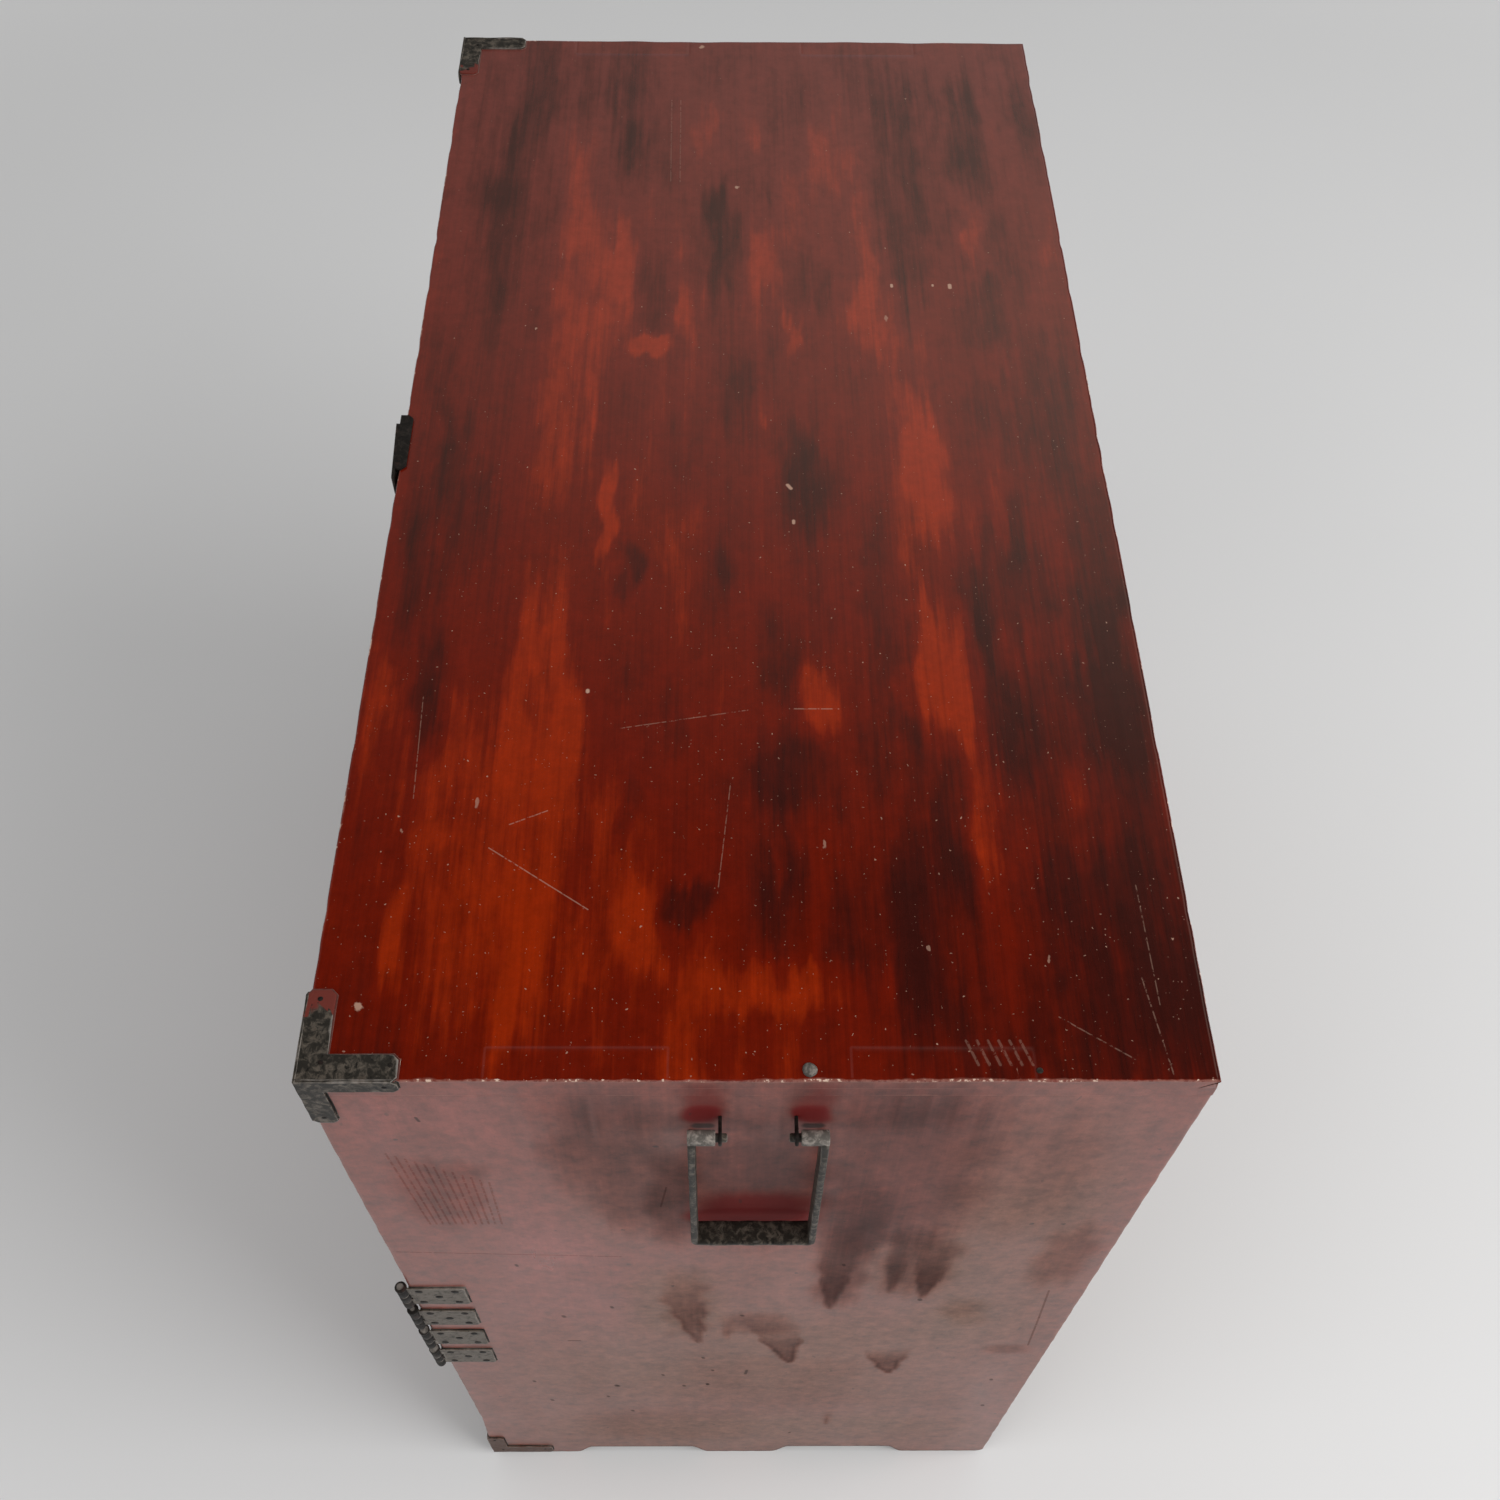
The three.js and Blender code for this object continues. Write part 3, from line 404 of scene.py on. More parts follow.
THIN_SHEET_FORM = PlateForm(0.05, 0.3, 0.3, 2.0, (0.6,))


def rectangle(a: tuple[float, float], b: tuple[float, float]) -> Points:
    """The corners of a rectangle."""
    return np.array([(a[0], b[0]), (a[1], b[0]), (a[1], b[1]), (a[0], b[1])])


def stud(at: Place, facing: Facing, way: int, radius: float, rise: float, slot: int = 0) -> Shell:
    """A hand-made nail head: a low dome, a little out of round, whose rim goes under the surface."""
    seed = int(abs(at[0] * 7 + at[1] * 13 + at[2] * 17)) % 9973
    around = np.linspace(0, 2 * np.pi, 12, endpoint=False)
    out = np.array([0.85, 1.0, 0.88, 0.62, 0.25])
    up = np.array([-0.4, 0.1, 0.5, 0.84, 1.0])
    lumps = 1 + 0.05 * wander(around / (2 * np.pi), 2, seed)
    a = at[facing.value[0]] + radius * out[:, None] * lumps * np.cos(around)
    b = at[facing.value[1]] + radius * out[:, None] * lumps * np.sin(around)
    c = at[facing.value[2]] + way * rise * up[:, None] + 0 * a
    return ring_shell(facing.place(a, b, c), slots=slot, cap_slots=(slot, slot))


def turned_bar(
    middle: tuple[float, float], along: Points, radius: Points, facing: Facing, sides: int = 20
) -> Shell:
    """A round bar along a plane's normal: rings of the given radii at the given places."""
    around = np.linspace(0, 2 * np.pi, sides, endpoint=False)
    a = middle[0] + radius[:, None] * np.cos(around)
    b = middle[1] + radius[:, None] * np.sin(around)
    edge = np.minimum(along - along.min(), along.max() - along)[:, None]
    return ring_shell(facing.place(a, b, along[:, None] + 0 * a), edge)


class Graph:
    """Adds nodes to one node tree and joins them."""

    def __init__(self, tree: NodeTree) -> None:
        """Starts on a tree."""
        self.tree = tree

    def feed(self, socket: NodeSocket, value: Value) -> None:
        """Links a socket to another, or sets its own value."""
        if isinstance(value, NodeSocket):
            self.tree.links.new(value, socket)
        else:
            socket.default_value = value

    def node(self, kind: str, inputs: dict[str | int, Value] | None = None, **settings: object) -> Node:
        """Adds a node.

        Args:
            kind: The shader node's type, without its prefix.
            inputs: Values or sockets by input name or number.
            **settings: The node's own options.

        Returns:
            The new node.
        """
        made = self.tree.nodes.new("ShaderNode" + kind)
        for key, setting in settings.items():
            setattr(made, key, setting)
        for key, value in (inputs or {}).items():
            self.feed(made.inputs[key], value)
        return made

    def math(self, operation: str, *values: Value, clamp: bool = False) -> NodeSocket:
        """One step of arithmetic on numbers."""
        return self.node("Math", dict(enumerate(values)), operation=operation, use_clamp=clamp).outputs[0]

    def times(self, one: Value, other: Value, clamp: bool = False) -> NodeSocket:
        """The product of two numbers."""
        return self.math("MULTIPLY", one, other, clamp=clamp)

    def plus(self, one: Value, other: Value, clamp: bool = False) -> NodeSocket:
        """The sum of two numbers."""
        return self.math("ADD", one, other, clamp=clamp)

    def minus(self, one: Value, other: Value, clamp: bool = False) -> NodeSocket:
        """One number less another."""
        return self.math("SUBTRACT", one, other, clamp=clamp)

    def scaled(self, value: Value, factor: Value, offset: Value, clamp: bool = False) -> NodeSocket:
        """A number times a factor, and an offset added."""
        return self.math("MULTIPLY_ADD", value, factor, offset, clamp=clamp)

    def vector(self, operation: str, *values: Value, number: bool = False) -> NodeSocket:
        """One step of arithmetic on vectors, which gives a number if asked."""
        made = self.node("VectorMath", dict(enumerate(values)), operation=operation)
        return made.outputs[1 if number else 0]

    def mix(self, share: Value, one: Value, other: Value, mode: str = "MIX") -> NodeSocket:
        """A colour between two, or the two combined in a blend mode; plain colours are opaque."""
        one, other = ((*c, 1) if isinstance(c, tuple) else c for c in (one, other))
        return self.node("Mix", {0: share, 6: one, 7: other}, data_type="RGBA", blend_type=mode).outputs[2]

    def step(self, low: Value, high: Value, value: Value, to: tuple[float, float] = (0.0, 1.0)) -> NodeSocket:
        """An S from one value to another as the input goes from low to high."""
        inputs = {"Value": value, "From Min": low, "From Max": high, "To Min": to[0], "To Max": to[1]}
        return self.node("MapRange", inputs, interpolation_type="SMOOTHSTEP").outputs[0]

    def around(self, value: NodeSocket, reach: float) -> NodeSocket:
        """A noise of 0 to 1 as a swing of plus or minus half the reach."""
        return self.times(self.minus(value, 0.5), reach)

    def noise(
        self, vector: NodeSocket, scale: Value, detail: float, rough: float, bend: float = 0
    ) -> NodeSocket:
        """Fractal noise between 0 and 1."""
        inputs = {"Vector": vector, "Scale": scale, "Detail": detail, "Roughness": rough, "Distortion": bend}
        return self.node("TexNoise", inputs).outputs[0]

    def bent(self, vector: NodeSocket, scale: float, reach: float) -> NodeSocket:
        """A vector pushed about by a noise of its own."""
        push = self.node("TexNoise", {"Vector": vector, "Scale": scale}).outputs[1]
        return self.vector("ADD", vector, self.vector("MULTIPLY", push, (reach, reach, reach)))

    def surface(
        self, shader: Node, colour: Value, rough: Value, height: Value, strength: float, distance: float
    ) -> None:
        """Feeds a shader its colour, its roughness and a bump from a height."""
        bump = self.node("Bump", {"Strength": strength, "Distance": distance, "Height": height}).outputs[0]
        for label, value in (("Base Color", colour), ("Roughness", rough), ("Normal", bump)):
            self.feed(shader.inputs[label], value)

    def grey(self, value: NodeSocket) -> NodeSocket:
        """A number as a grey."""
        return self.node("CombineColor", {0: value, 1: value, 2: value}).outputs[0]

    def attribute(self, name: str) -> NodeSocket:
        """A number stored on the mesh."""
        return self.node("Attribute", attribute_name=name).outputs["Fac"]

    def to_edge(self) -> NodeSocket:
        """Millimetres to the nearest edge, which is far where a mesh does not say."""
        return self.scaled(self.attribute("rim"), -EDGE_REACH, EDGE_REACH)

    def place(self) -> NodeSocket:
        """The Object coordinates, in metres."""
        return self.node("TexCoord").outputs["Object"]

    def axis(self, vector: NodeSocket, number: int) -> NodeSocket:
        """One coordinate of a vector."""
        return self.node("SeparateXYZ", {0: vector}).outputs[number]


FLOAT, VECTOR, COLOUR = "NodeSocketFloat", "NodeSocketVector", "NodeSocketColor"


class Effect:
    """A shader node group that several finishes share, built once."""

    name: str = ""
    inputs: tuple[tuple[str, str, float | tuple[float, ...] | None], ...] = ()
    outputs: tuple[tuple[str, str], ...] = ()

    def __init__(self) -> None:
        """Builds the group with its named inputs and outputs."""
        self.tree = bpy.data.node_groups.new(self.name, "ShaderNodeTree")
        for label, kind, value in self.inputs:
            socket = self.tree.interface.new_socket(label, in_out="INPUT", socket_type=kind)
            if value is not None:
                socket.default_value = value
        for label, kind in self.outputs:
            self.tree.interface.new_socket(label, in_out="OUTPUT", socket_type=kind)
        graph = Graph(self.tree)
        given = self.tree.nodes.new("NodeGroupInput").outputs
        last = self.tree.nodes.new("NodeGroupOutput")
        for label, socket in self.wire(graph, given).items():
            self.tree.links.new(socket, last.inputs[label])

    def wire(self, graph: Graph, given: object) -> dict[str, NodeSocket]:
        """Builds the inside of the group and returns what feeds each output."""
        raise NotImplementedError

    def use(self, graph: Graph, values: dict[str, Value]) -> dict[str, NodeSocket]:
        """Places the group in a material.

        Args:
            graph: The material's nodes.
            values: What its inputs get, by name.

        Returns:
            Its outputs, by name.
        """
        made = graph.node("Group", node_tree=self.tree)
        for key, value in values.items():
            graph.feed(made.inputs[key], value)
        return {socket.name: socket for socket in made.outputs}


class Figure(Effect):
    """The wood's figure under a finish: broad streaks, hair-fine grain and soft clouds."""

    name = "Wood figure"
    inputs = (
        ("Vector", VECTOR, None),
        ("Streak Stretch", VECTOR, (3, 40, 40)),
        ("Grain Stretch", VECTOR, (8, 400, 400)),
        ("Cloud Stretch", VECTOR, (6, 24, 24)),
    )
    outputs = (("Streak", FLOAT), ("Grain", FLOAT), ("Cloud", FLOAT))

    def wire(self, graph: Graph, given: object) -> dict[str, NodeSocket]:
        """Three noises stretched along the board: the grain most, the streaks less, the clouds a little."""
        bent = graph.bent(given["Vector"], 11.0, 0.018)
        outputs = {}
        for label, way, detail, rough in (
            ("Streak", bent, 6, 0.62),
            ("Grain", given["Vector"], 4, 0.7),
            ("Cloud", bent, 4, 0.6),
        ):
            stretched = graph.vector("MULTIPLY", way, given[label + " Stretch"])
            outputs[label] = graph.noise(stretched, 1, detail, rough)
        return outputs


class EdgeWearAndHighlight(Effect):
    """Rubbed and chipped edges, from the distance to the nearest edge; the rub also paints a highlight along
    them.
    """

    name = "Edge wear"
    inputs = (
        ("Vector", VECTOR, None),
        ("Distance", FLOAT, 5.0),
        ("Reach", FLOAT, 3.0),
        ("Chipping", FLOAT, 0.5),
    )
    outputs = (("Rub", FLOAT), ("Chip", FLOAT))

    def wire(self, graph: Graph, given: object) -> dict[str, NodeSocket]:
        """The rub and its painted highlight fade out at a wandering reach; a chip is where a finer noise is
        high, close to the edge.
        """
        broad = graph.noise(given["Vector"], 30, 4, 0.65)
        fine = graph.noise(given["Vector"], 260, 3, 0.65)
        reach = graph.times(given["Reach"], graph.step(0.38, 0.7, broad, (0.12, 1.3)))
        near = graph.minus(1, graph.math("DIVIDE", given["Distance"], reach), clamp=True)
        torn = graph.plus(fine, graph.around(broad, 0.7))
        close = graph.minus(1, graph.math("DIVIDE", given["Distance"], given["Reach"]), clamp=True)
        limit = graph.minus(0.8, graph.times(given["Chipping"], 0.3))
        chip = graph.times(torn, graph.step(0.0, 0.55, close))
        return {
            "Rub": graph.times(graph.step(0, 0.7, near), graph.step(0.3, 0.62, fine, (0.35, 1.0))),
            "Chip": graph.step(limit, graph.plus(limit, 0.04), chip),
        }


class Scratch(Effect):
    """One straight scratch between two places, broken up along its length."""

    name = "Scratch"
    inputs = (
        ("Vector", VECTOR, None),
        ("Torn", FLOAT, 1.0),
        ("Start", VECTOR, (0, 0, 0)),
        ("Run", VECTOR, (0.1, 0, 0)),
        ("Width", FLOAT, 0.0006),
        ("Breaks", FLOAT, 0.5),
    )
    outputs = (("Mask", FLOAT),)

    def wire(self, graph: Graph, given: object) -> dict[str, NodeSocket]:
        """The distance to a line: what is left of the place once its share along the run is taken off."""
        away = graph.vector("SUBTRACT", given["Vector"], given["Start"])
        along = graph.vector("DOT_PRODUCT", away, given["Run"], number=True)
        whole = graph.vector("DOT_PRODUCT", given["Run"], given["Run"], number=True)
        share = graph.math("DIVIDE", along, whole, clamp=True)
        on = graph.node("VectorMath", {0: given["Run"], "Scale": share}, operation="SCALE").outputs[0]
        off = graph.vector("LENGTH", graph.vector("SUBTRACT", away, on), number=True)
        thin = graph.minus(1, graph.math("DIVIDE", off, given["Width"]), clamp=True)
        low = graph.minus(given["Breaks"], 0.12)
        whole_or_torn = graph.step(low, given["Breaks"], given["Torn"])
        return {"Mask": graph.times(graph.step(0, 0.6, thin), whole_or_torn)}


class Specks(Effect):
    """Small scattered spots: pits, dirt and flecks of paint."""

    name = "Specks"
    inputs = (("Vector", VECTOR, None), ("Scale", FLOAT, 90.0), ("Size", FLOAT, 0.1), ("Share", FLOAT, 0.2))
    outputs = (("Mask", FLOAT),)

    def wire(self, graph: Graph, given: object) -> dict[str, NodeSocket]:
        """A cell's spot shows where the cell's own random number is under the share."""
        pushed = graph.bent(given["Vector"], 420.0, 0.003)
        cell = graph.node("TexVoronoi", {"Vector": pushed, "Scale": given["Scale"]})
        chance = graph.node("SeparateColor", {0: cell.outputs["Color"]}).outputs
        size = graph.times(given["Size"], graph.plus(chance[0], 0.3))
        inside = graph.step(graph.times(size, 0.7), size, cell.outputs["Distance"], (1.0, 0.0))
        return {"Mask": graph.times(inside, graph.math("LESS_THAN", chance[1], given["Share"]))}


class IronSkin(Effect):
    """Hand-beaten iron: dents, dark scale, paler worn metal and rust."""

    name = "Beaten iron"
    inputs = (
        ("Vector", VECTOR, None),
        ("Scale Colour", COLOUR, (0.01, 0.01, 0.01, 1)),
        ("Worn Colour", COLOUR, (0.1, 0.1, 0.1, 1)),
        ("Rust Colour", COLOUR, (0.1, 0.05, 0.03, 1)),
        ("Wear", FLOAT, 0.5),
        ("Rust", FLOAT, 0.2),
    )
    outputs = (("Color", COLOUR), ("Worn", FLOAT), ("Height", FLOAT))

    def wire(self, graph: Graph, given: object) -> dict[str, NodeSocket]:
        """Mottles a few millimetres wide choose between the colours, and broad dents make the height."""
        mottle = graph.noise(given["Vector"], 210, 6, 0.72, 0.5)
        patch = graph.noise(given["Vector"], 70, 4, 0.65)
        dents = graph.noise(given["Vector"], 110, 2, 0.5)
        bare = graph.step(0.44, 0.68, graph.plus(mottle, graph.around(given["Wear"], 0.5)))
        colour = graph.mix(bare, given["Scale Colour"], given["Worn Colour"])
        rusted = graph.plus(patch, graph.around(mottle, 0.7))
        limit = graph.minus(0.95, graph.times(given["Rust"], 0.7))
        red = graph.step(graph.minus(limit, 0.12), graph.plus(limit, 0.1), rusted)
        pits = graph.step(0.3, 0.36, graph.noise(given["Vector"], 420, 2, 0.5), (0.35, 1.0))
        colour = graph.mix(1.0, graph.mix(red, colour, given["Rust Colour"]), graph.grey(pits), "MULTIPLY")
        height = graph.plus(dents, graph.times(mottle, 0.3))
        return {"Color": colour, "Worn": bare, "Height": graph.scaled(pits, 0.3, height)}


class BareGrain(Effect):
    """Growth rings and pores of bare softwood."""

    name = "Bare grain"
    inputs = (
        ("Vector", VECTOR, None),
        ("Ring Stretch", VECTOR, (1.5, 40, 40)),
        ("Pore Stretch", VECTOR, (12, 700, 700)),
    )
    outputs = (("Ring", FLOAT), ("Pore", FLOAT), ("Stain", FLOAT))

    def wire(self, graph: Graph, given: object) -> dict[str, NodeSocket]:
        """A sine of a stretched noise makes the rings, and a finer one the pores."""
        base = graph.noise(graph.vector("MULTIPLY", given["Vector"], given["Ring Stretch"]), 1, 2, 0.45)
        ring = graph.scaled(graph.math("SINE", graph.times(base, 60)), 0.5, 0.5)
        pore = graph.noise(graph.vector("MULTIPLY", given["Vector"], given["Pore Stretch"]), 1, 3, 0.6)
        return {"Ring": ring, "Pore": pore, "Stain": graph.noise(given["Vector"], 7, 5, 0.65)}


@dataclass(frozen=True)
class Effects:
    """Every shared effect, built once."""

    figure: Figure
    wear: EdgeWearAndHighlight
    scratch: Scratch
    specks: Specks
    iron: IronSkin
    grain: BareGrain

    @classmethod
    def build(cls) -> "Effects":
        """Builds the groups."""
        return cls(Figure(), EdgeWearAndHighlight(), Scratch(), Specks(), IronSkin(), BareGrain())


def started(name: str) -> tuple[Material, Graph, Node]:
    """An empty material with its Principled shader."""
    made = bpy.data.materials.new(name)
    made.use_nodes = True
    return made, Graph(made.node_tree), made.node_tree.nodes["Principled BSDF"]


@dataclass(frozen=True)
class Mark:
    """A scratch, a chip or a painted shadow on the lacquer, from one place to another in the case's
    millimetres.
    """

    start: Place
    end: Place
    width: float
    breaks: float
    strength: float


@dataclass(frozen=True)
class Lacquer:
    """A coloured lacquer over grained boards.

    Attributes:
        name: The material's name.
        pale: Its colour where it is thin.
        middle: Its colour mostly.
        dark: Its colour where it is thick or stained.
        deep: Its deep red where a painted reflection shade lies beside the lifting handles, told by a
            dust_and_shade value below nothing.
        bare: The wood that shows in a chip.
        rub: The colour of a rubbed edge, which also paints a highlight along it.
        dusty: The colour of scuffs and of the thin lines round joints.
        mark: The colour of scratches and specks, and of the painted shadows above the right lifting handle's
            knuckles.
        grain: The way the boards run.
        roughness: The gloss where it is clean.
        stain_matt: How much rougher a stain is.
        streaking: How far the broad streaks change the tone.
        clouding: How far the soft clouds change it.
        hairs: How far the finest grain darkens it.
        brushing: How far that grain ruffles the borders of the tones.
        depths: The tone at which it is darkest.
        mottling: How uneven a fine dirt makes it.
        reach: How far from an edge it is rubbed and carries the painted highlight, in millimetres.
        chipping: How many chips there are along the edges.
        specks: The share of specks at the left end and at the right end.
        nicks: The share of bigger spots and nicks.
        marks: Its scratches, and on the right end board the painted shadows above the lifting handle's
            knuckles.
    """

    name: str
    pale: Colour
    middle: Colour
    dark: Colour
    deep: Colour = (0.135, 0.001, 0.001)
    bare: Colour = (0.55, 0.38, 0.24)
    rub: Colour = (0.3, 0.11, 0.07)
    dusty: Colour = (0.22, 0.12, 0.1)
    mark: Colour = (0.42, 0.25, 0.18)
    grain: Grain = Grain.ACROSS
    roughness: float = 0.2
    stain_matt: float = 0.0
    streaking: float = 2.2
    clouding: float = 1.2
    hairs: float = 0.4
    brushing: float = 0.5
    depths: float = 1.5
    mottling: float = 0.9
    reach: float = 3.0
    chipping: float = 0.5
    specks: tuple[float, float] = (0.03, 0.1)
    nicks: float = 0.01
    marks: tuple[Mark, ...] = ()

    def build(self, effects: Effects) -> Material:
        """Layers figure, specks, scratches, dust, painted reflection shade and worn edges with a painted
        highlight over the base colour.
        """
        made, graph, shader = started(self.name)
        place = graph.place()
        tone, dust_and_shade = graph.attribute("tone"), graph.attribute("dust_and_shade")
        stretches = {
            "Streak Stretch": self.grain.stretch(7.5, 5.2),
            "Grain Stretch": self.grain.stretch(6.5, 62),
            "Cloud Stretch": self.grain.stretch(4.5, 3.4),
        }
        figure = effects.figure.use(graph, {"Vector": place, **stretches})
        streak = graph.around(figure["Streak"], self.streaking)
        swing = graph.plus(streak, graph.around(figure["Cloud"], self.clouding))
        depth = graph.plus(tone, graph.plus(swing, graph.around(figure["Grain"], self.brushing)))
        stain = graph.step(0.0, self.depths, depth)
        colour = graph.mix(stain, self.middle, self.dark)
        colour = graph.mix(graph.step(0.0, -0.8, depth), colour, self.pale)
        hair = graph.step(0.3, 0.8, figure["Grain"], (1 + self.hairs * 0.35, 1 - self.hairs))
        colour = graph.mix(1.0, colour, graph.grey(hair), "MULTIPLY")
        rough = graph.plus(graph.around(figure["Cloud"], 0.14), self.roughness)
        rough = graph.scaled(graph.math("MAXIMUM", tone, 0), self.stain_matt, rough)
        veil = graph.times(dust_and_shade, graph.scaled(stain, -0.6, 0.75), clamp=True)
        colour = graph.mix(veil, colour, self.dusty)
        mottle = graph.around(graph.noise(place, 85, 7, 0.78), self.mottling)
        colour = graph.mix(1.0, colour, graph.grey(graph.minus(1.0, mottle)), "MULTIPLY")
        # Painted reflection shade: a deep red where the dust value falls below nothing, above the lifting
        # handles' bars and knuckles.
        colour = graph.mix(graph.step(0.0, -1.0, dust_and_shade, (0.0, 0.92)), colour, self.deep)
        off_gloss = graph.math("MAXIMUM", dust_and_shade, graph.times(dust_and_shade, -1.8))
        rough = graph.scaled(off_gloss, 0.2, rough)
        colour, rough = self.marked(graph, effects, place, colour, rough)
        edge = {"Vector": place, "Distance": graph.to_edge(), "Reach": self.reach, "Chipping": self.chipping}
        worn = effects.wear.use(graph, edge)
        # Rubbed edges: worn lacquer with a painted highlight along the edge.
        colour = graph.mix(graph.times(worn["Rub"], 0.85), colour, self.rub)
        colour = graph.mix(worn["Chip"], colour, self.bare)
        rough = graph.scaled(worn["Rub"], 0.2, rough)
        rough = graph.scaled(worn["Chip"], 0.4, rough, clamp=True)
        height = graph.scaled(figure["Grain"], 0.35, graph.times(worn["Chip"], -1.5))
        height = graph.scaled(figure["Streak"], 0.8, height)
        graph.surface(shader, colour, rough, height, 0.14, 0.0006)
        return made

    def marked(
        self, graph: Graph, effects: Effects, place: NodeSocket, colour: NodeSocket, rough: NodeSocket
    ) -> tuple[NodeSocket, NodeSocket]:
        """Adds the specks, the nicks and the scratches, painted shadows among them, to a colour and a
        roughness.
        """
        share = graph.step(-0.3, 0.45, graph.axis(place, 0), self.specks)
        strewn = graph.vector("MULTIPLY", graph.bent(place, 9.0, 0.03), self.grain.stretch(0.35, 2.6))
        for vector, scale, size, part, strength in (
            (place, 75.0, 0.05, share, 0.8),
            (place, 170.0, 0.08, share, 0.7),
            (place, 420.0, 0.14, share, 0.5),
            (strewn, 90.0, 0.11, graph.times(share, 0.45), 0.45),
            (place, 36.0, 0.09, self.nicks, 0.8),
        ):
            look = {"Vector": vector, "Scale": scale, "Size": size, "Share": part}
            spots = graph.times(effects.specks.use(graph, look)["Mask"], strength)
            colour = graph.mix(spots, colour, self.mark)
        torn = graph.noise(place, 330, 3, 0.7)
        for mark in self.marks:
            start, end = CASE.metres(mark.start), CASE.metres(mark.end)
            line = {"Vector": place, "Torn": torn, "Start": tuple(start), "Run": tuple(end - start)}
            line |= {"Width": mark.width * MM, "Breaks": mark.breaks}
            mask = effects.scratch.use(graph, line)["Mask"]
            colour = graph.mix(graph.times(mask, mark.strength), colour, self.mark)
            rough = graph.scaled(mask, 0.2, rough)
        return colour, rough


@dataclass(frozen=True)
class Iron:
    """Beaten iron, more or less rusted, bright where hands polish it, paler along its rims with worn metal
    and a painted highlight, and red where lacquer was left on it.
    """

    name: str
    scale: Colour
    worn: Colour
    rust: Colour
    bright: Colour = (0.36, 0.32, 0.285)
    paint: Colour = (0.13, 0.02, 0.013)
    wear: float = 0.5
    rusting: float = 0.2
    metal: float = 0.5
    roughness: float = 0.5

    def build(self, effects: Effects) -> Material:
        """Colours by the skin's mottles, pales the rims with worn metal and a painted highlight, and makes
        worn metal smoother.
        """
        made, graph, shader = started(self.name)
        place = graph.place()
        labels = ("Scale", "Worn", "Rust")
        colours = {f"{label} Colour": (*getattr(self, label.lower()), 1) for label in labels}
        skin = effects.iron.use(graph, {"Vector": place, **colours, "Wear": self.wear, "Rust": self.rusting})
        tone = graph.attribute("tone")
        edge = {"Vector": place, "Distance": graph.to_edge(), "Reach": 1.0, "Chipping": 0.0}
        # Paler rims: worn metal, with a painted highlight along the edge.
        rim = graph.times(effects.wear.use(graph, edge)["Rub"], 0.5)
        polish = graph.times(tone, graph.scaled(skin["Worn"], -0.8, -0.3))
        polish_and_highlight = graph.math("MAXIMUM", rim, polish, clamp=True)
        colour = graph.mix(polish_and_highlight, skin["Color"], self.bright)
        left = graph.step(0.42, 0.6, graph.times(tone, graph.scaled(skin["Height"], 1.2, 0.05)))
        colour = graph.mix(left, colour, self.paint)
        metal = graph.times(graph.math("MAXIMUM", skin["Worn"], polish_and_highlight), self.metal)
        graph.feed(shader.inputs["Metallic"], graph.times(metal, graph.minus(1, left)))
        rough = graph.scaled(skin["Worn"], -0.14, self.roughness + 0.07)
        graph.surface(shader, colour, rough, skin["Height"], 0.5, 0.0008)
        return made


@dataclass(frozen=True)
class BareWood:
    """Unpainted softwood, aged, which may be lacquered on its front edge."""

    name: str
    early: Colour
    late: Colour
    stain: Colour
    grain: Grain = Grain.ACROSS
    front: Colour | None = None
    roughness: float = 0.7

    def build(self, effects: Effects) -> Material:
        """Rings darken the wood, pores roughen it, and old stains dull it."""
        made, graph, shader = started(self.name)
        place = graph.place()
        rings, pores = self.grain.stretch(1.1, 22), self.grain.stretch(14.0, 50)
        wood = effects.grain.use(graph, {"Vector": place, "Ring Stretch": rings, "Pore Stretch": pores})
        colour = graph.mix(graph.times(wood["Ring"], 0.75), self.early, self.late)
        colour = graph.mix(graph.step(0.5, 0.8, wood["Pore"], (0.0, 0.45)), colour, self.stain)
        colour = graph.mix(graph.step(0.45, 0.72, wood["Stain"], (0.0, 0.65)), colour, self.stain)
        rough = graph.step(0.2, 0.8, wood["Stain"], (self.roughness, self.roughness - 0.12))
        if self.front:
            depth = graph.minus(graph.axis(place, 1), (CASE.front + CASE.shift) * MM)
            near = graph.plus(depth, graph.around(wood["Pore"], 0.003))
            coat = graph.step(0.0005, 0.0022, near, (1.0, 0.0))
            tint = graph.mix(wood["Pore"], self.front, tuple(c * 0.3 for c in self.front))
            colour = graph.mix(coat, colour, tint)
            rough = graph.scaled(coat, -0.42, rough)
        height = graph.scaled(wood["Pore"], 0.6, graph.times(wood["Ring"], 0.3))
        graph.surface(shader, colour, rough, height, 0.35, 0.0005)
        return made


@dataclass(frozen=True)
class Patch:
    """A soft patch of tone on a face, longer along the grain, with brushed ends.

    Attributes:
        along: Its middle along the grain.
        across: Its middle across the grain.
        half_along: Half its length.
        half_across: Half its width.
        tone: How dark it makes the lacquer, or how pale if negative.
        brush: How unevenly its ends are brushed out.
    """

    along: float
    across: float
    half_along: float
    half_across: float
    tone: float
    brush: float = 1.0

    def spread(self, along: Points, across: Points, seed: int) -> Points:
        """Its tone over a face: full in the middle, brushed out at its ends, with wandering sides."""
        brushed = self.brush * (0.2 * wander(across, 1 / 9, seed) + 0.16 * wander(across, 1 / 26, seed + 7))
        u = np.abs((along - self.along) / self.half_along + brushed)
        v = np.abs((across - self.across + 2.5 * wander(along, 1 / 70, seed + 1)) / self.half_across)
        return self.tone * (1 - smoothstep(0.55, 1.45, (u**3 + v**3) ** (1 / 3)))


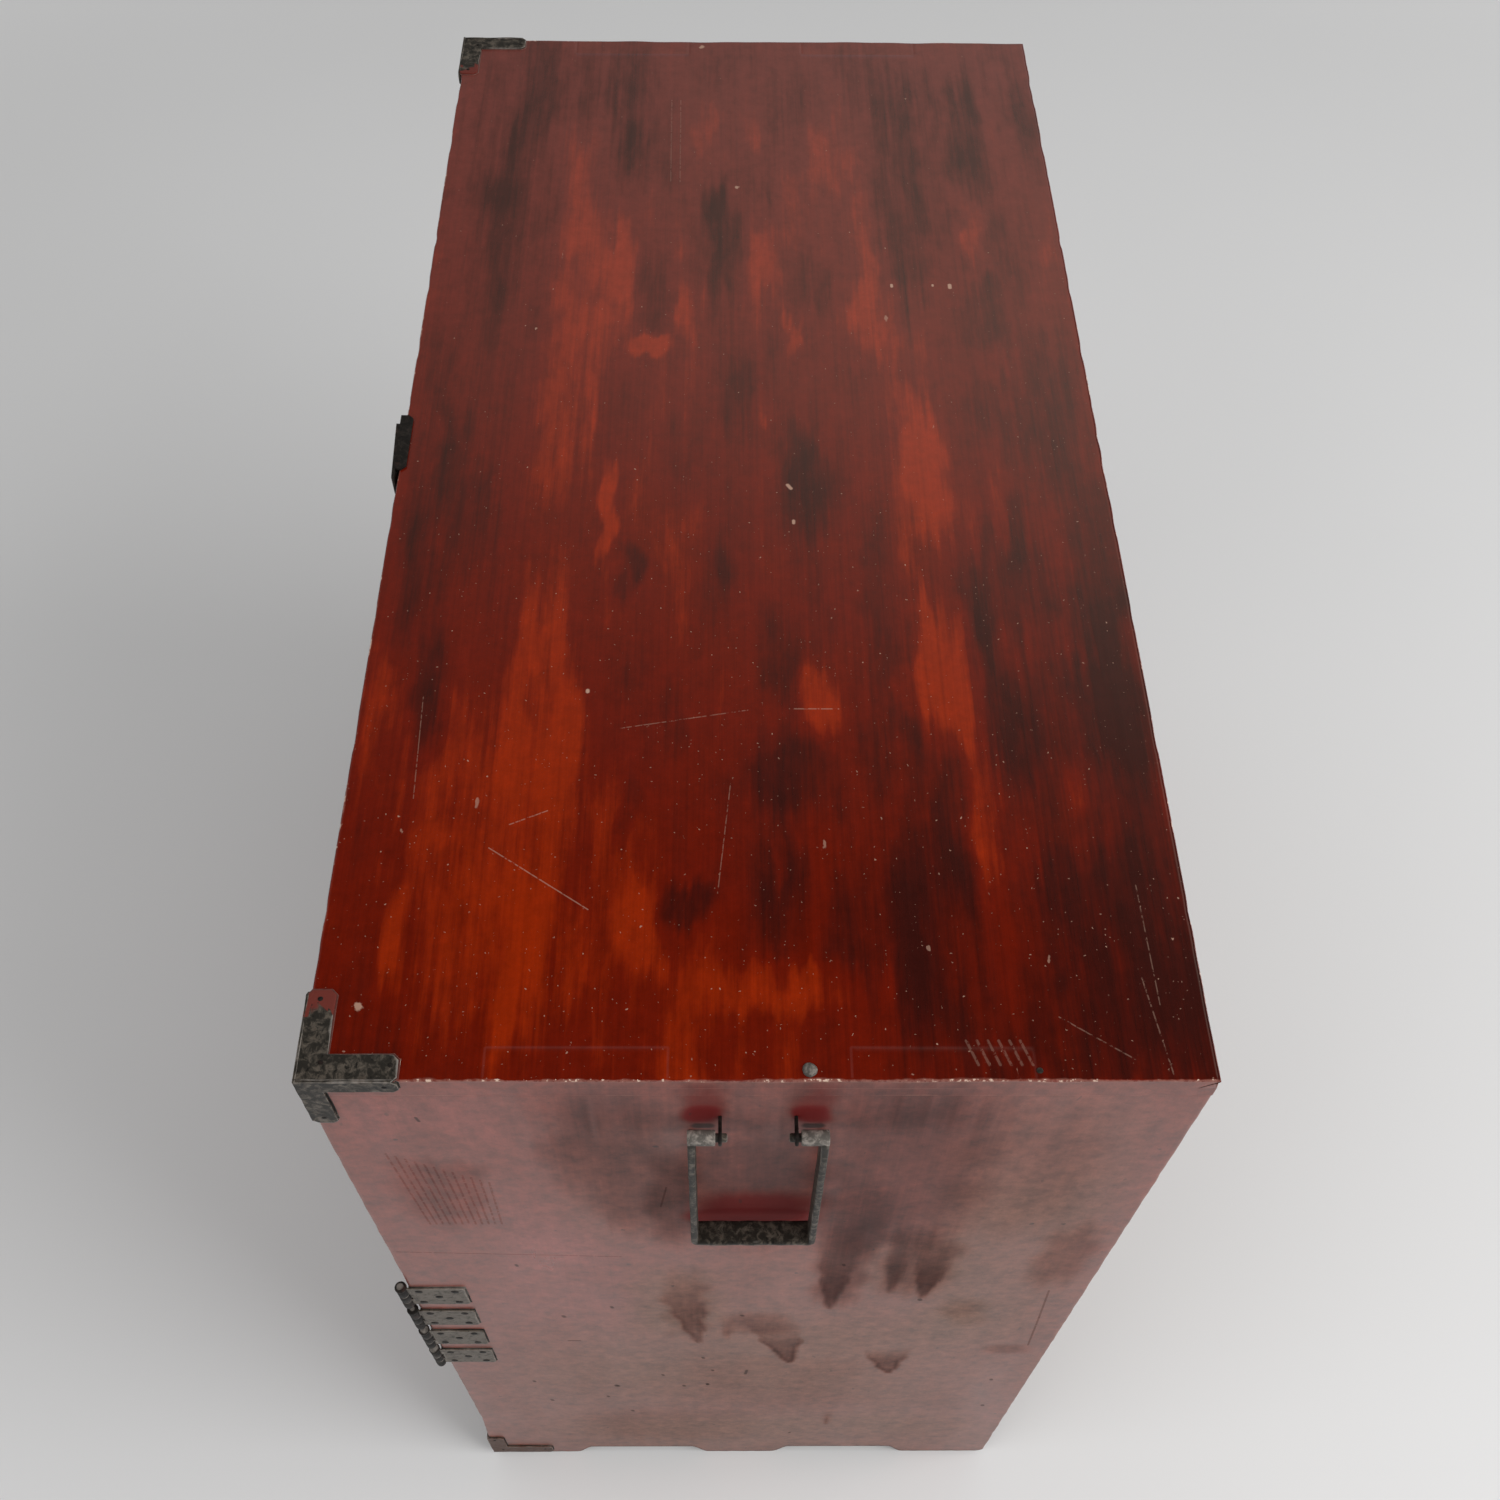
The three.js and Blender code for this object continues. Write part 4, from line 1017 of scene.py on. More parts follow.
@dataclass(frozen=True)
class Drip:
    """A run of dirt or lacquer on a side board, with a pointed lower end.

    Attributes:
        across: The y of its tip.
        tip: The height of its tip.
        top: The height where it has faded out.
        half: Half its greatest width.
        tone: How dark it is.
        lean: How far its top stands towards the rear.
    """

    across: float
    tip: float
    top: float
    half: float
    tone: float
    lean: float = 0.0

    def spread(self, height: Points, across: Points, seed: int) -> Points:
        """Its tone: narrow at its tip, faded out at its top, and darkest just inside its rim."""
        share = np.clip((height - self.tip) / (self.top - self.tip), 0, 1)
        half = self.half * (0.05 + 0.95 * share**0.8) * (1 + 0.1 * wander(height, 1 / 45, seed))
        ragged = 0.8 * (1 + wander(across, 1 / 9, seed + 3)) * share
        inside = half - np.abs(across - self.across - self.lean * share) - ragged
        body = smoothstep(-1.5, 4.0, inside) * (1 - smoothstep(0.3, 1.0, share))
        rim = np.exp(-(((inside - 1.5) / 2.2) ** 2)) * (1 - smoothstep(0.25, 0.75, share))
        return self.tone * (0.6 * body + 0.45 * rim) * (share > 0)


def toned(along: Points, across: Points, patches: tuple[Patch | Drip, ...], seed: int) -> Points:
    """The sum of the patches' tones over a face."""
    return sum(patch.spread(along, across, seed + 11 * k) for k, patch in enumerate(patches))


def graded(
    low: float, high: float, step: float, edge: tuple[float, ...], marks: tuple[float, ...] = ()
) -> Points:
    """Places from low to high, evenly spaced, with extra ones near both ends and beside each mark.

    Args:
        low: The first place.
        high: The last place.
        step: The even spacing.
        edge: Distances from each end that get a place of their own.
        marks: Places of grooves.

    Returns:
        The places in order.
    """
    inner = np.linspace(low, high, max(2, round((high - low) / step) + 1))
    inner = inner[(inner > low + max(edge) * 1.3) & (inner < high - max(edge) * 1.3)]
    for mark in marks:
        inner = inner[np.abs(inner - mark) > 1.3]
    close = [low + e for e in edge] + [high - e for e in edge]
    grooves = [m + d for m in marks for d in (-0.9, -0.3, 0.0, 0.3, 0.9)]
    return np.unique(np.round(np.concatenate([[low, high], inner, close, grooves]), 4))


TOP_PATCHES = tuple(
    Patch(*row)
    for row in (
        (-152, -117, 200, 17, -0.4), (-35, -124, 92, 15, -0.3), (-172, -88, 40, 8, -0.5),
        (-322, -28, 55, 12, -0.35), (-335, 2, 33, 11, -0.3), (-332, 62, 90, 14, -0.4),
        (-205, 163, 52, 8, -0.55), (-337, 188, 45, 6, -0.4), (-112, 86, 40, 20, -0.5),
        (-182, 13, 50, 12, -0.45), (-85, -68, 10, 14, -0.9), (-122, -42, 30, 8, -0.4),
        (40, 113, 58, 12, -0.55), (198, 112, 50, 16, -1.0), (210, 90, 18, 8, -0.6), (333, 126, 95, 9, -0.7),
        (70, -91, 42, 5, -0.8), (-22, 7, 20, 4, -0.4), (-95, 28, 22, 5, -0.5), (35, 157, 38, 8, -0.4),
        (-67, 163, 15, 12, -0.3), (220, 38, 28, 10, -0.7), (373, -191, 25, 5, -0.6),
        (235, -209, 62, 15, -0.3), (373, -62, 25, 12, -0.5), (403, 13, 15, 42, -0.5),
        (283, 176, 15, 5, -0.6), (210, -120, 88, 23, -0.2), (388, 66, 20, 10, -0.4),
        (330, -150, 90, 60, -0.45), (-132, -187, 205, 38, 0.35), (-192, -25, 60, 21, 0.75),
        (-132, -67, 40, 12, 0.55), (-267, 113, 125, 17, 0.6), (-327, 167, 60, 16, 0.65),
        (-202, 191, 50, 15, 0.35), (-232, 14, 30, 6, 0.35), (-152, 41, 30, 15, 0.5),
        (-62, -16, 60, 17, 0.35), (-127, 168, 45, 22, 0.35), (35, 212, 138, 12, 0.35),
        (43, 30, 45, 18, 0.6), (120, -76, 22, 7, 1.0), (130, -24, 33, 10, 0.45), (175, 16, 38, 10, 0.5),
        (135, 151, 42, 25, 0.75), (230, 180, 38, 44, 0.6), (148, 81, 75, 15, 0.4), (265, 78, 32, 17, 0.7),
        (350, 76, 58, 30, 1.0), (388, 180, 60, 44, 0.8), (270, 26, 28, 30, 0.55), (355, -38, 13, 13, 0.8),
        (290, -71, 23, 5, 0.6), (228, -47, 30, 7, 0.4), (215, -187, 43, 8, 0.5), (363, 28, 35, 27, 0.4),
        (25, -39, 38, 15, 0.3), (-297, -80, 35, 21, 0.3), (335, -137, 62, 38, 0.25),
        (-400, 60, 60, 150, 0.2), (-400, -160, 70, 60, 0.5), (330, 140, 130, 90, 0.4),
        (405, 150, 60, 75, 0.7), (150, 205, 200, 34, 0.2), (60, -10, 160, 90, 0.15),
        (-100, 190, 200, 30, 0.22), (-330, 195, 60, 30, 0.3), (-300, 130, 90, 60, 0.15),
        (150, -200, 330, 20, 0.25),
    )
)

SIDE_PATCHES = tuple(
    Patch(*row, brush=0.3)
    for row in (
        (712, -80, 92, 38, 0.4), (670, -47, 66, 13, 0.35), (715, 82, 110, 44, 0.45), (640, 62, 60, 20, 0.2),
        (822, 5, 34, 120, 0.3), (700, 0, 92, 37, 0.45), (720, 152, 90, 36, 0.2), (548, 60, 76, 16, 0.45),
        (560, 108, 60, 22, 0.45), (470, -44, 66, 15, 0.22), (425, 10, 26, 24, 0.35),
        (462, 146, 22, 13, 0.16), (446, 155, 26, 13, 0.16), (575, 199, 56, 17, 0.32),
        (356, 196, 12, 16, 0.22), (715, -176, 76, 27, 0.25), (110, -60, 55, 70, 0.14),
        (250, 20, 90, 80, 0.12), (790, -168, 46, 42, -0.35), (640, -120, 80, 30, -0.3),
        (520, -120, 120, 50, -0.25), (400, 60, 60, 60, -0.15),
    )
)

SIDE_DRIPS = (
    Drip(56, 462, 610, 18, 0.7),
    Drip(95, 497, 600, 11, 0.5),
    Drip(118, 486, 600, 17, 0.7),
    Drip(-35, 374, 540, 22, 0.6, -12),
    Drip(-14, 383, 445, 8, 0.4),
    Drip(34.5, 318, 450, 27, 0.95, -18),
    Drip(113, 285.5, 378, 25, 0.85, -10),
    Drip(74, 109, 168, 6, 0.5),
)

# Rows below nothing are painted reflection shade: deep red just above the lifting handle's bar and its
# knuckles, where they hide the board's reflections; the other rows are grime and dust.
SIDE_GRIME_AND_SHADE = tuple(
    Patch(*row, brush=0.12)
    for row in (
        (650, 0, 12, 33, -1.4), (664, 0, 28, 36, -0.8), (806, -28.5, 10, 9, -0.9),
        (820, -28.5, 24, 10, -0.5), (806, 29, 10, 9, -0.9), (820, 29, 24, 10, -0.5),
        (330, 40, 120, 190, 0.3), (470, 60, 130, 120, 0.25), (200, -40, 160, 160, 0.3),
        (60, 30, 80, 200, 0.35), (560, 170, 160, 50, 0.4), (720, 160, 110, 50, 0.3),
        (700, -70, 100, 40, 0.2), (480, -50, 70, 30, 0.5), (150, 150, 80, 50, 0.2), (560, 105, 60, 30, 0.3),
        (452, 150, 36, 20, 0.14),
    )
)


def turned_round(patches: tuple[Patch, ...], dark_drop: float, pale_drop: float) -> tuple[Patch, ...]:
    """The right end's patches mirrored for the left end, and set lower, so that the two ends differ."""
    moved = []
    for patch in patches:
        drop = dark_drop if patch.tone > 0 else pale_drop
        moved.append(replace(patch, along=patch.along - drop, across=-patch.across))
    return tuple(moved)


LEFT_PATCHES = turned_round(SIDE_PATCHES, 45, 45)
# On the left end the painted reflection shade keeps its heights, mirrored; only the grime is set lower.
LEFT_GRIME_AND_SHADE = turned_round(SIDE_GRIME_AND_SHADE, 30, 0)


TOP_MARKS = tuple(
    Mark((x0, y0, CASE.height), (x1, y1, CASE.height), *look)
    for x0, y0, x1, y1, *look in (
        (-372, -58, -267, -57, 0.6, 0.5, 0.16), (-372, -51, -267, -50, 0.6, 0.5, 0.16),
        (226, 20, 226, 48, 0.6, 0.52, 0.35), (240, -76, 227, -4, 0.5, 0.53, 0.26),
        (305, -134, 296, -114, 0.5, 0.5, 0.4), (320, -144, 358, -89, 0.5, 0.5, 0.4),
        (278, -14, 348, -21, 0.4, 0.5, 0.26), (218, -190, 288, -188, 0.4, 0.5, 0.26),
        (420, 151, 443, 186, 0.5, 0.55, 0.24), (343, 201, 413, 203, 0.45, 0.53, 0.24),
        (398, 196, 452, 204, 0.5, 0.55, 0.24), (48, 23, 51, 25, 1.6, 0.0, 0.9),
        (79, 26, 81, 26, 1.4, 0.0, 0.9), (-149, 101, -147, 101, 1.4, 0.0, 1.0),
        (-149, 130, -148, 130, 1.1, 0.0, 1.0), (-149, 142, -146, 142, 1.8, 0.0, 1.0),
        (213, -96, 214, -96, 1.5, 0.0, 1.0),
        *((433, 103 + 5.4 * k, 446, 108 + 5.4 * k, 1.0, 0.5, 0.16) for k in range(6)),
    )
)

SIDE_NICKS = (
    (-102, 249, 2.6), (-48, 249, 1.9), (-29, 254, 2.0), (-64, 283, 1.6), (-129, 445, 2.0),
    (-94, 467, 1.7), (-158, 202, 1.9), (-111, 214, 1.7), (-93, 164, 2.0), (197, 267, 1.9),
    (202, 181, 2.1), (-167, 264, 1.7), (117, 484, 2.2), (-32, 334, 1.8), (-25, 297, 1.6),
    (60, 560, 1.5), (-150, 560, 1.5),
)

SIDE_MARKS_AND_SHADOWS = tuple(
    Mark((CASE.end, y0, z0), (CASE.end, y1, z1), *look)
    for y0, z0, y1, z1, *look in (
        # The first two are painted shadows: dark bars on the board just above the lifting handle's knuckles.
        *((y - 3, 791, y + 3, 791, 4.4, 0.0, 0.93) for y in (-28.5, 29)),
        (-222, 586, -82, 576, 0.9, 0.46, 0.22), (202, 503, 206, 440, 1.0, 0.4, 0.35),
        (206, 440, 210, 367, 1.0, 0.42, 0.35), (-50, 700, -54, 668, 0.8, 0.4, 0.4),
        (-102, 250, -100, 247, 1.7, 0.0, 0.8), (-29, 254, -29, 250, 1.5, 0.0, 0.8),
        (-4, 446, -3, 444, 1.9, 0.0, 0.8), (44, 80, 43, 77, 1.5, 0.0, 0.7),
        (-176, 802, -175, 797, 1.2, 0.0, 0.8), (-130, 381, -122, 381, 1.4, 0.0, 0.6),
        (2, 296, 1, 284, 1.6, 0.0, 0.7),
        *((y, z, y + 0.6, z - 3, width, 0.0, 0.75) for y, z, width in SIDE_NICKS),
        *((-200 + 4.6 * k, 752 - 4 * k, -193 + 3.9 * k, 638, 0.9, 0.5, 0.1) for k in range(12)),
    )
)


def quarter_round(radius: Points | float, gap: Points) -> Points:
    """How far a surface falls back this near to a rounded edge: r - sqrt(r^2 - (r - gap)^2)."""
    radius = np.maximum(radius, 0.05)
    dip = np.clip(radius - gap, 0, None)
    return radius - np.sqrt(np.clip(radius**2 - dip**2, 0, None))


def capped(points: Points, edge: Points, tone: Points, dust_and_shade: Points, slots: Points, end_slot: int) -> Shell:
    """Joins rings into a board whose end faces have rings of their own, drawn in step by step from the rim.

    Args:
        points: Points by ring, then around the ring.
        edge: Millimetres to the nearest edge.
        tone: How dark the finish is.
        dust_and_shade: How dusty it is, and below nothing how deep a painted reflection shade is.
        slots: The finish's number, by ring but the last.
        end_slot: The finish's number on the end faces.

    Returns:
        The closed shell.
    """
    insets, thinnest, least = (0.3, 2.5, 5.0, 8.7), 5.2, 0.03
    low, high = points[[0, -1]].min(1), points[[0, -1]].max(1)
    middle, half = ((low + high) / 2)[:, None], np.maximum((high - low) / 2, 1e-6)[:, None]
    drawn = [np.where(half > thinnest, np.maximum(1 - inset / half, least), 1) for inset in insets]
    shrunk = [middle + (points[[0, -1]] - middle) * share for share in drawn]
    first, last = [rims[:1] for rims in shrunk[::-1]], [rims[1:] for rims in shrunk]
    rings = np.concatenate([*first, points, *last])
    count, around = points.shape[:2]
    marks = []
    for values, ends in ((edge, insets), (tone, None), (dust_and_shade, None)):
        whole = np.broadcast_to(values, (count, around))
        before = [np.full((1, around), v) for v in ends[::-1]] if ends else [whole[:1]] * len(insets)
        after = [np.full((1, around), v) for v in ends] if ends else [whole[-1:]] * len(insets)
        marks.append(np.concatenate([*before, whole, *after]))
    rim = np.full((len(insets), around), end_slot)
    rows = np.concatenate([rim, np.broadcast_to(slots, (count - 1, around)), rim])
    return ring_shell(rings, *marks, rows, (end_slot, end_slot))


@dataclass
class TopBoard:
    """The top board, whose ends show the outlines of the box joint's fingers."""

    finishes: tuple[Material, Material, Material]
    radius: float = 1.1
    bow: float = 1.6
    groove: float = 0.12
    depth: float = 1.0
    step_along: float = 4.8
    step_across: float = 2.4
    fingers: int = 5
    mortise: float = 8.3
    clearance: float = 0.35
    sheer: float = 0.02
    lift: float = 0.4
    line: float = 0.35
    spacing: tuple[float, ...] = (0.6, 1.5, 3.0, 6.0)
    end_spacing: tuple[float, ...] = (0.15, 0.5, 1.1, 2.0, 3.5, 6.0)

    def groove_depth(self, x: Points, y: Points, thick: float) -> Points:
        """How deep the joint's outline is cut: full within a third of a millimetre of a finger's edge."""
        pitch = CASE.depth / self.fingers
        place = (y - CASE.front) / pitch
        nearest = np.round(place)
        line = np.abs(place - nearest) * pitch
        odd = np.floor(place).astype(int) % 2 == 1
        real = (nearest >= 1) & (nearest <= self.fingers - 1)
        along = (line < self.line) & (np.abs(x) > CASE.end - thick) & real
        across = (np.abs(np.abs(x) - (CASE.end - thick)) < self.line) & odd
        return self.groove * (along | across)

    def walls(self, axis: int) -> Points:
        """Both sides of the walls, along one axis, of the mortise that the top drawer's bolt rises into."""
        low, high = (corner[axis] for corner in CASE.box("top_drawer_bolt"))
        low, high = low - self.clearance, high + self.clearance
        return np.array([low - self.sheer, low, high, high + self.sheer])

    def section(self, ys: Points, low: Points, high: Points) -> tuple[Points, Points]:
        """The board's section in (y, z): the top, the rear edge, the underside and the front edge."""
        side, drop = (self.radius * (1 - turn(QUARTER_TURN)) for turn in (np.sin, np.cos))
        under = np.sort(np.concatenate([ys[::-6], self.walls(1)]))[::-1]
        middle, base = (low[2] + high[2]) / 2, low[2]
        y = [ys[:-1], high[1] - side[::-1], [high[1]] * 2, under, [low[1]] * 2, (low[1] + side)[:-1]]
        z = [np.full(len(ys) - 1, high[2]), high[2] - drop[::-1], [middle, base + self.lift]]
        z += [np.full(len(under), base), [base + self.lift, middle], (high[2] - drop)[:-1]]
        return np.concatenate(y), np.concatenate(z)

    def build(self) -> Object:
        """Carries the section along x, rounds the ends, bows the front and cuts the joint's outline."""
        low, high = CASE.box("top_board")
        thick = high[2] - low[2]
        joints = tuple(CASE.front + CASE.depth / self.fingers * k for k in range(1, self.fingers))
        ys = graded(low[1] + self.radius, high[1] - self.radius, self.step_across, self.spacing, joints)
        sect_y, sect_z = self.section(ys, low, high)
        ends = (CASE.end - thick, thick - CASE.end)
        xs = graded(low[0], high[0], self.step_along, self.end_spacing, ends)
        xs = np.union1d(xs, self.walls(0))
        x, y = np.meshgrid(xs, sect_y, indexing="ij")
        under = sect_z < low[2] + 0.1
        (_, *across, _), (_, *along, _) = self.walls(0), self.walls(1)
        sunk = (x >= across[0]) & (x <= across[1]) & (y >= along[0]) & (y <= along[1]) & under
        z = sect_z + self.mortise * sunk
        to_end, to_front, to_rear = CASE.end - np.abs(x), y - low[1], high[1] - y
        on_top = z > high[2] - self.radius * 0.8
        worn = self.radius * (1 + 0.35 * field_noise(np.stack([x, y, z], -1), 1 / 30, 3))
        z = np.where(on_top, z - quarter_round(worn, to_end), z)
        bowed = self.bow * (1 - (x / CASE.end) ** 2) * (1 - smoothstep(0, np.where(under, 6, 90), to_front))
        nibble = 0.35 * np.clip(field_noise(np.stack([x, 0 * y, z], -1), 1 / 22, 8), 0, None)
        y = y + bowed + nibble * (1 - smoothstep(0, 5, to_front)) - nibble * (1 - smoothstep(0, 5, to_rear))
        cut = np.where(on_top & (to_end > 1.4), self.groove_depth(x, y, thick), 0)
        z = z - cut
        on_face = np.minimum(np.minimum(to_front, to_rear * 1.3), to_end * 0.8)
        edge = np.where(on_top, on_face, np.minimum(high[2] - z, to_end + 3))
        slots = np.broadcast_to(np.where(sect_z < low[2] + 0.3, 2, 0), (len(xs) - 1, len(sect_z)))
        tone = self.depth * np.tanh(1.4 * toned(x, y, TOP_PATCHES, 21))
        dust_and_shade = cut * np.where(x > 0, 1.2, 0.3) + 0.36 * smoothstep(120, -CASE.end, x)
        shell = capped(np.stack([x, y, z], -1), edge, tone, dust_and_shade, slots, 1)
        on_end = shell.points[:, 0] > CASE.end - 0.6
        along, across = shell.points[:, 2], shell.points[:, 1]
        shell.tone = np.where(on_end, toned(along, across, SIDE_PATCHES, 32), shell.tone)
        # The top board's ends take the end boards' grime and painted reflection shade.
        shell.dust_and_shade = np.where(on_end, toned(along, across, SIDE_GRIME_AND_SHADE, 72), shell.dust_and_shade)
        finishes = list(self.finishes)
        return Piece("top_board_worn", "case", "top_lacquer", finishes, [shell], ("top_board",)).build()


@dataclass
class SideBoard:
    """One end board, cut into three feet below."""

    side: Side
    finishes: tuple[Material, Material]
    patches: tuple[Patch | Drip, ...]
    grime_and_shade: tuple[Patch, ...]
    radius: float = 1.4
    step: float = 2.9
    foot: float = 76.0
    middle_foot: float = 59.0
    slope: float = 15.0
    cut: float = 21.0
    set_back: float = 2.8
    lift: float = 0.4
    under: tuple[float, ...] = (14.0, 9.0, 4.0, 1.5)

    def underside(self, y: Points) -> Points:
        """The height of the lower edge: nothing under a foot, and the cut's depth between feet."""
        outer = np.minimum(y - CASE.front, CASE.rear - y)
        off_outer = smoothstep(self.foot, self.foot + self.slope, outer)
        off_middle = smoothstep(self.middle_foot / 2, self.middle_foot / 2 + self.slope, np.abs(y))
        off = off_outer * off_middle
        ragged = 0.4 * (1 + np.clip(wander(y / CASE.depth, 26, 5 + self.side.value), -1, 1.5))
        corner = 5.0 * (1 - smoothstep(0, 8, outer))
        return self.cut * off + ragged * (1 - off) + corner

    def build(self) -> Object:
        """Carries the board's section from front to rear, and rounds its front, rear and lower edges."""
        name = f"{self.side.label}_side_board"
        low, high = CASE.box(name)
        way = self.side.value
        outer, inner = (high[0], low[0]) if way > 0 else (low[0], high[0])
        top = CASE.box("top_board")[0][2]
        ys = graded(CASE.front, CASE.rear, self.step, (0.15, 0.5, 1.2, 2.6, 6.0), (-121, -45, 45, 121))
        base = self.underside(ys)[:, None]
        rise = base + graded(0, 1, self.step / top, (0.0003, 0.002, 0.005)) * (top - base)
        count = rise.shape[1]
        back = np.linspace(1, 0, 14)
        inside = base + self.lift + back * (top - base - self.lift)
        z = np.concatenate([rise, top + 0 * base + np.zeros(2), inside, base + np.zeros(len(self.under))], 1)
        row = [np.full(count, outer), [outer - way * 2, inner + way * 2], np.full(len(back), inner)]
        x = np.concatenate([*row, outer - way * np.array(self.under)])
        x = np.broadcast_to(x, z.shape).copy()
        y = np.broadcast_to(ys[:, None], z.shape)
        to_front = y - CASE.front
        near = np.minimum(to_front, CASE.rear - y)
        on_face = np.arange(z.shape[1]) < count
        worn = self.radius * (1 + 0.15 * field_noise(np.stack([x * 0, y, z], -1), 1 / 26, 13 + way))
        x = x - way * quarter_round(worn, z - base) * on_face
        outward = np.where(way * (x - (outer + inner) / 2) > 0, -way, way)
        x = x + outward * quarter_round(worn, near)
        worn_back = self.set_back * (1 - smoothstep(0, 760, z)) * smoothstep(60, 140, z)
        y = y + worn_back * (1 - smoothstep(0, 75, to_front))
        slots = np.broadcast_to(np.where(np.arange(z.shape[1]) > count, 1, 0), (len(ys) - 1, z.shape[1]))
        # The tone's last term is painted shade: the lacquer darkens within five millimetres of the lower
        # edge.
        tone = toned(z, y, self.patches, 31 + way) + 0.9 * (1 - smoothstep(0.5, 5, z - base))
        # Grime and dust, dustier towards the bottom, with painted reflection shade where the patches fall
        # below nothing.
        dust_and_shade = toned(z, y, self.grime_and_shade, 71 + way) + 0.15 * (1 - smoothstep(150, 650, z))
        shell = capped(np.stack([x, y, z], -1), near, tone, dust_and_shade, slots, 0)
        return Piece(f"{name}_worn", "case", "side_lacquer", list(self.finishes), [shell], (name,)).build()


@dataclass
class FlatBoards:
    """The flat boards of the case and of the drawers, each with softened edges."""

    lacquer: Material
    bare: dict[Grain, Material]
    case: dict[Grain, Material]
    front_form: PlateForm = PlateForm(1.6, 0.5, 0.2, 6.0, (7.0, 3.0))
    wood_form: PlateForm = PlateForm(0.8, 0.4, 0.1, 12.0, (2.0,))
    back_form: PlateForm = PlateForm(1.3, 0.4, 0.1, 8.0, (3.0,))
    trim: float = 0.25
    planks: int = 4
    seam: float = 0.03

    def rounded(
        self,
        node: str,
        body: str,
        slot: str,
        facing: Facing,
        form: PlateForm,
        finish: Material,
        parts: int = 1,
    ) -> Object:
        """Stands softened boards, edge to edge, in the place of a box-shaped CAD one.

        Args:
            node: The CAD board.
            body: The body that it rides on.
            slot: The record's slot.
            facing: The plane that it lies in.
            form: How its edges are rounded.
            finish: Its material.
            parts: How many boards make up the whole, one above the other.

        Returns:
            The finished object.
        """
        low, high = (corner.copy() for corner in CASE.box(node))
        if node == "top_drawer_front":
            high[2] -= self.trim
        if node == "safe_door_board":
            low[0] += self.trim
        a, b, c = facing.value
        seams = np.linspace(low[b], high[b], parts + 1)
        shells = []
        for k, (start, end) in enumerate(zip(seams, seams[1:])):
            outline = rectangle((low[a], high[a]), (start + self.seam * bool(k), end))
            shells.append(form.shell(outline, low[c], high[c], facing, sum(map(ord, node)) + k))
        return Piece(f"{node}_worn", body, slot, [finish], shells, (node,)).build()

    def build(self) -> None:
        """Builds the lacquered fronts, the drawers' bare boards, and the case's shelves and back."""
        fronts = [(f"{drawer}_front", drawer) for drawer in (*WIDE_PULLS, *SMALL_DRAWERS)]
        for node, body in (*fronts, ("safe_door_board", "safe_door"), ("front_apron", "case")):
            self.rounded(node, body, "front_lacquer", Facing.FRONT, self.front_form, self.lacquer)
        for drawer in WIDE_PULLS:
            for part, facing, grain in (
                ("left_side", Facing.END, Grain.DEEP),
                ("right_side", Facing.END, Grain.DEEP),
                ("back", Facing.FRONT, Grain.ACROSS),
                ("floor", Facing.UP, Grain.ACROSS),
            ):
                node, wood = f"{drawer}_{part}", self.bare[grain]
                self.rounded(node, drawer, "drawer_wood", facing, self.wood_form, wood)
        wood = self.case[Grain.ACROSS]
        for shelf in ("lower_shelf", "upper_shelf", "drawer_divider", "floor_board"):
            self.rounded(shelf, "case", "case_wood", Facing.UP, self.wood_form, wood)
        self.rounded("back_board", "case", "case_wood", Facing.FRONT, self.back_form, wood, self.planks)


def corner_outline(along_a: float, along_b: float, width_a: float, width_b: float, cut: float) -> Points:
    """An L of plate with cut corners: an arm along +a, wide in b, and an arm along +b, wide in a."""
    return np.array(
        [
            (0, 0),
            (along_a - cut, 0),
            (along_a, cut),
            (along_a, width_a - cut),
            (along_a - cut, width_a),
            (width_b, width_a),
            (width_b, along_b - cut),
            (width_b - cut, along_b),
            (cut, along_b),
            (0, along_b - cut),
        ]
    )


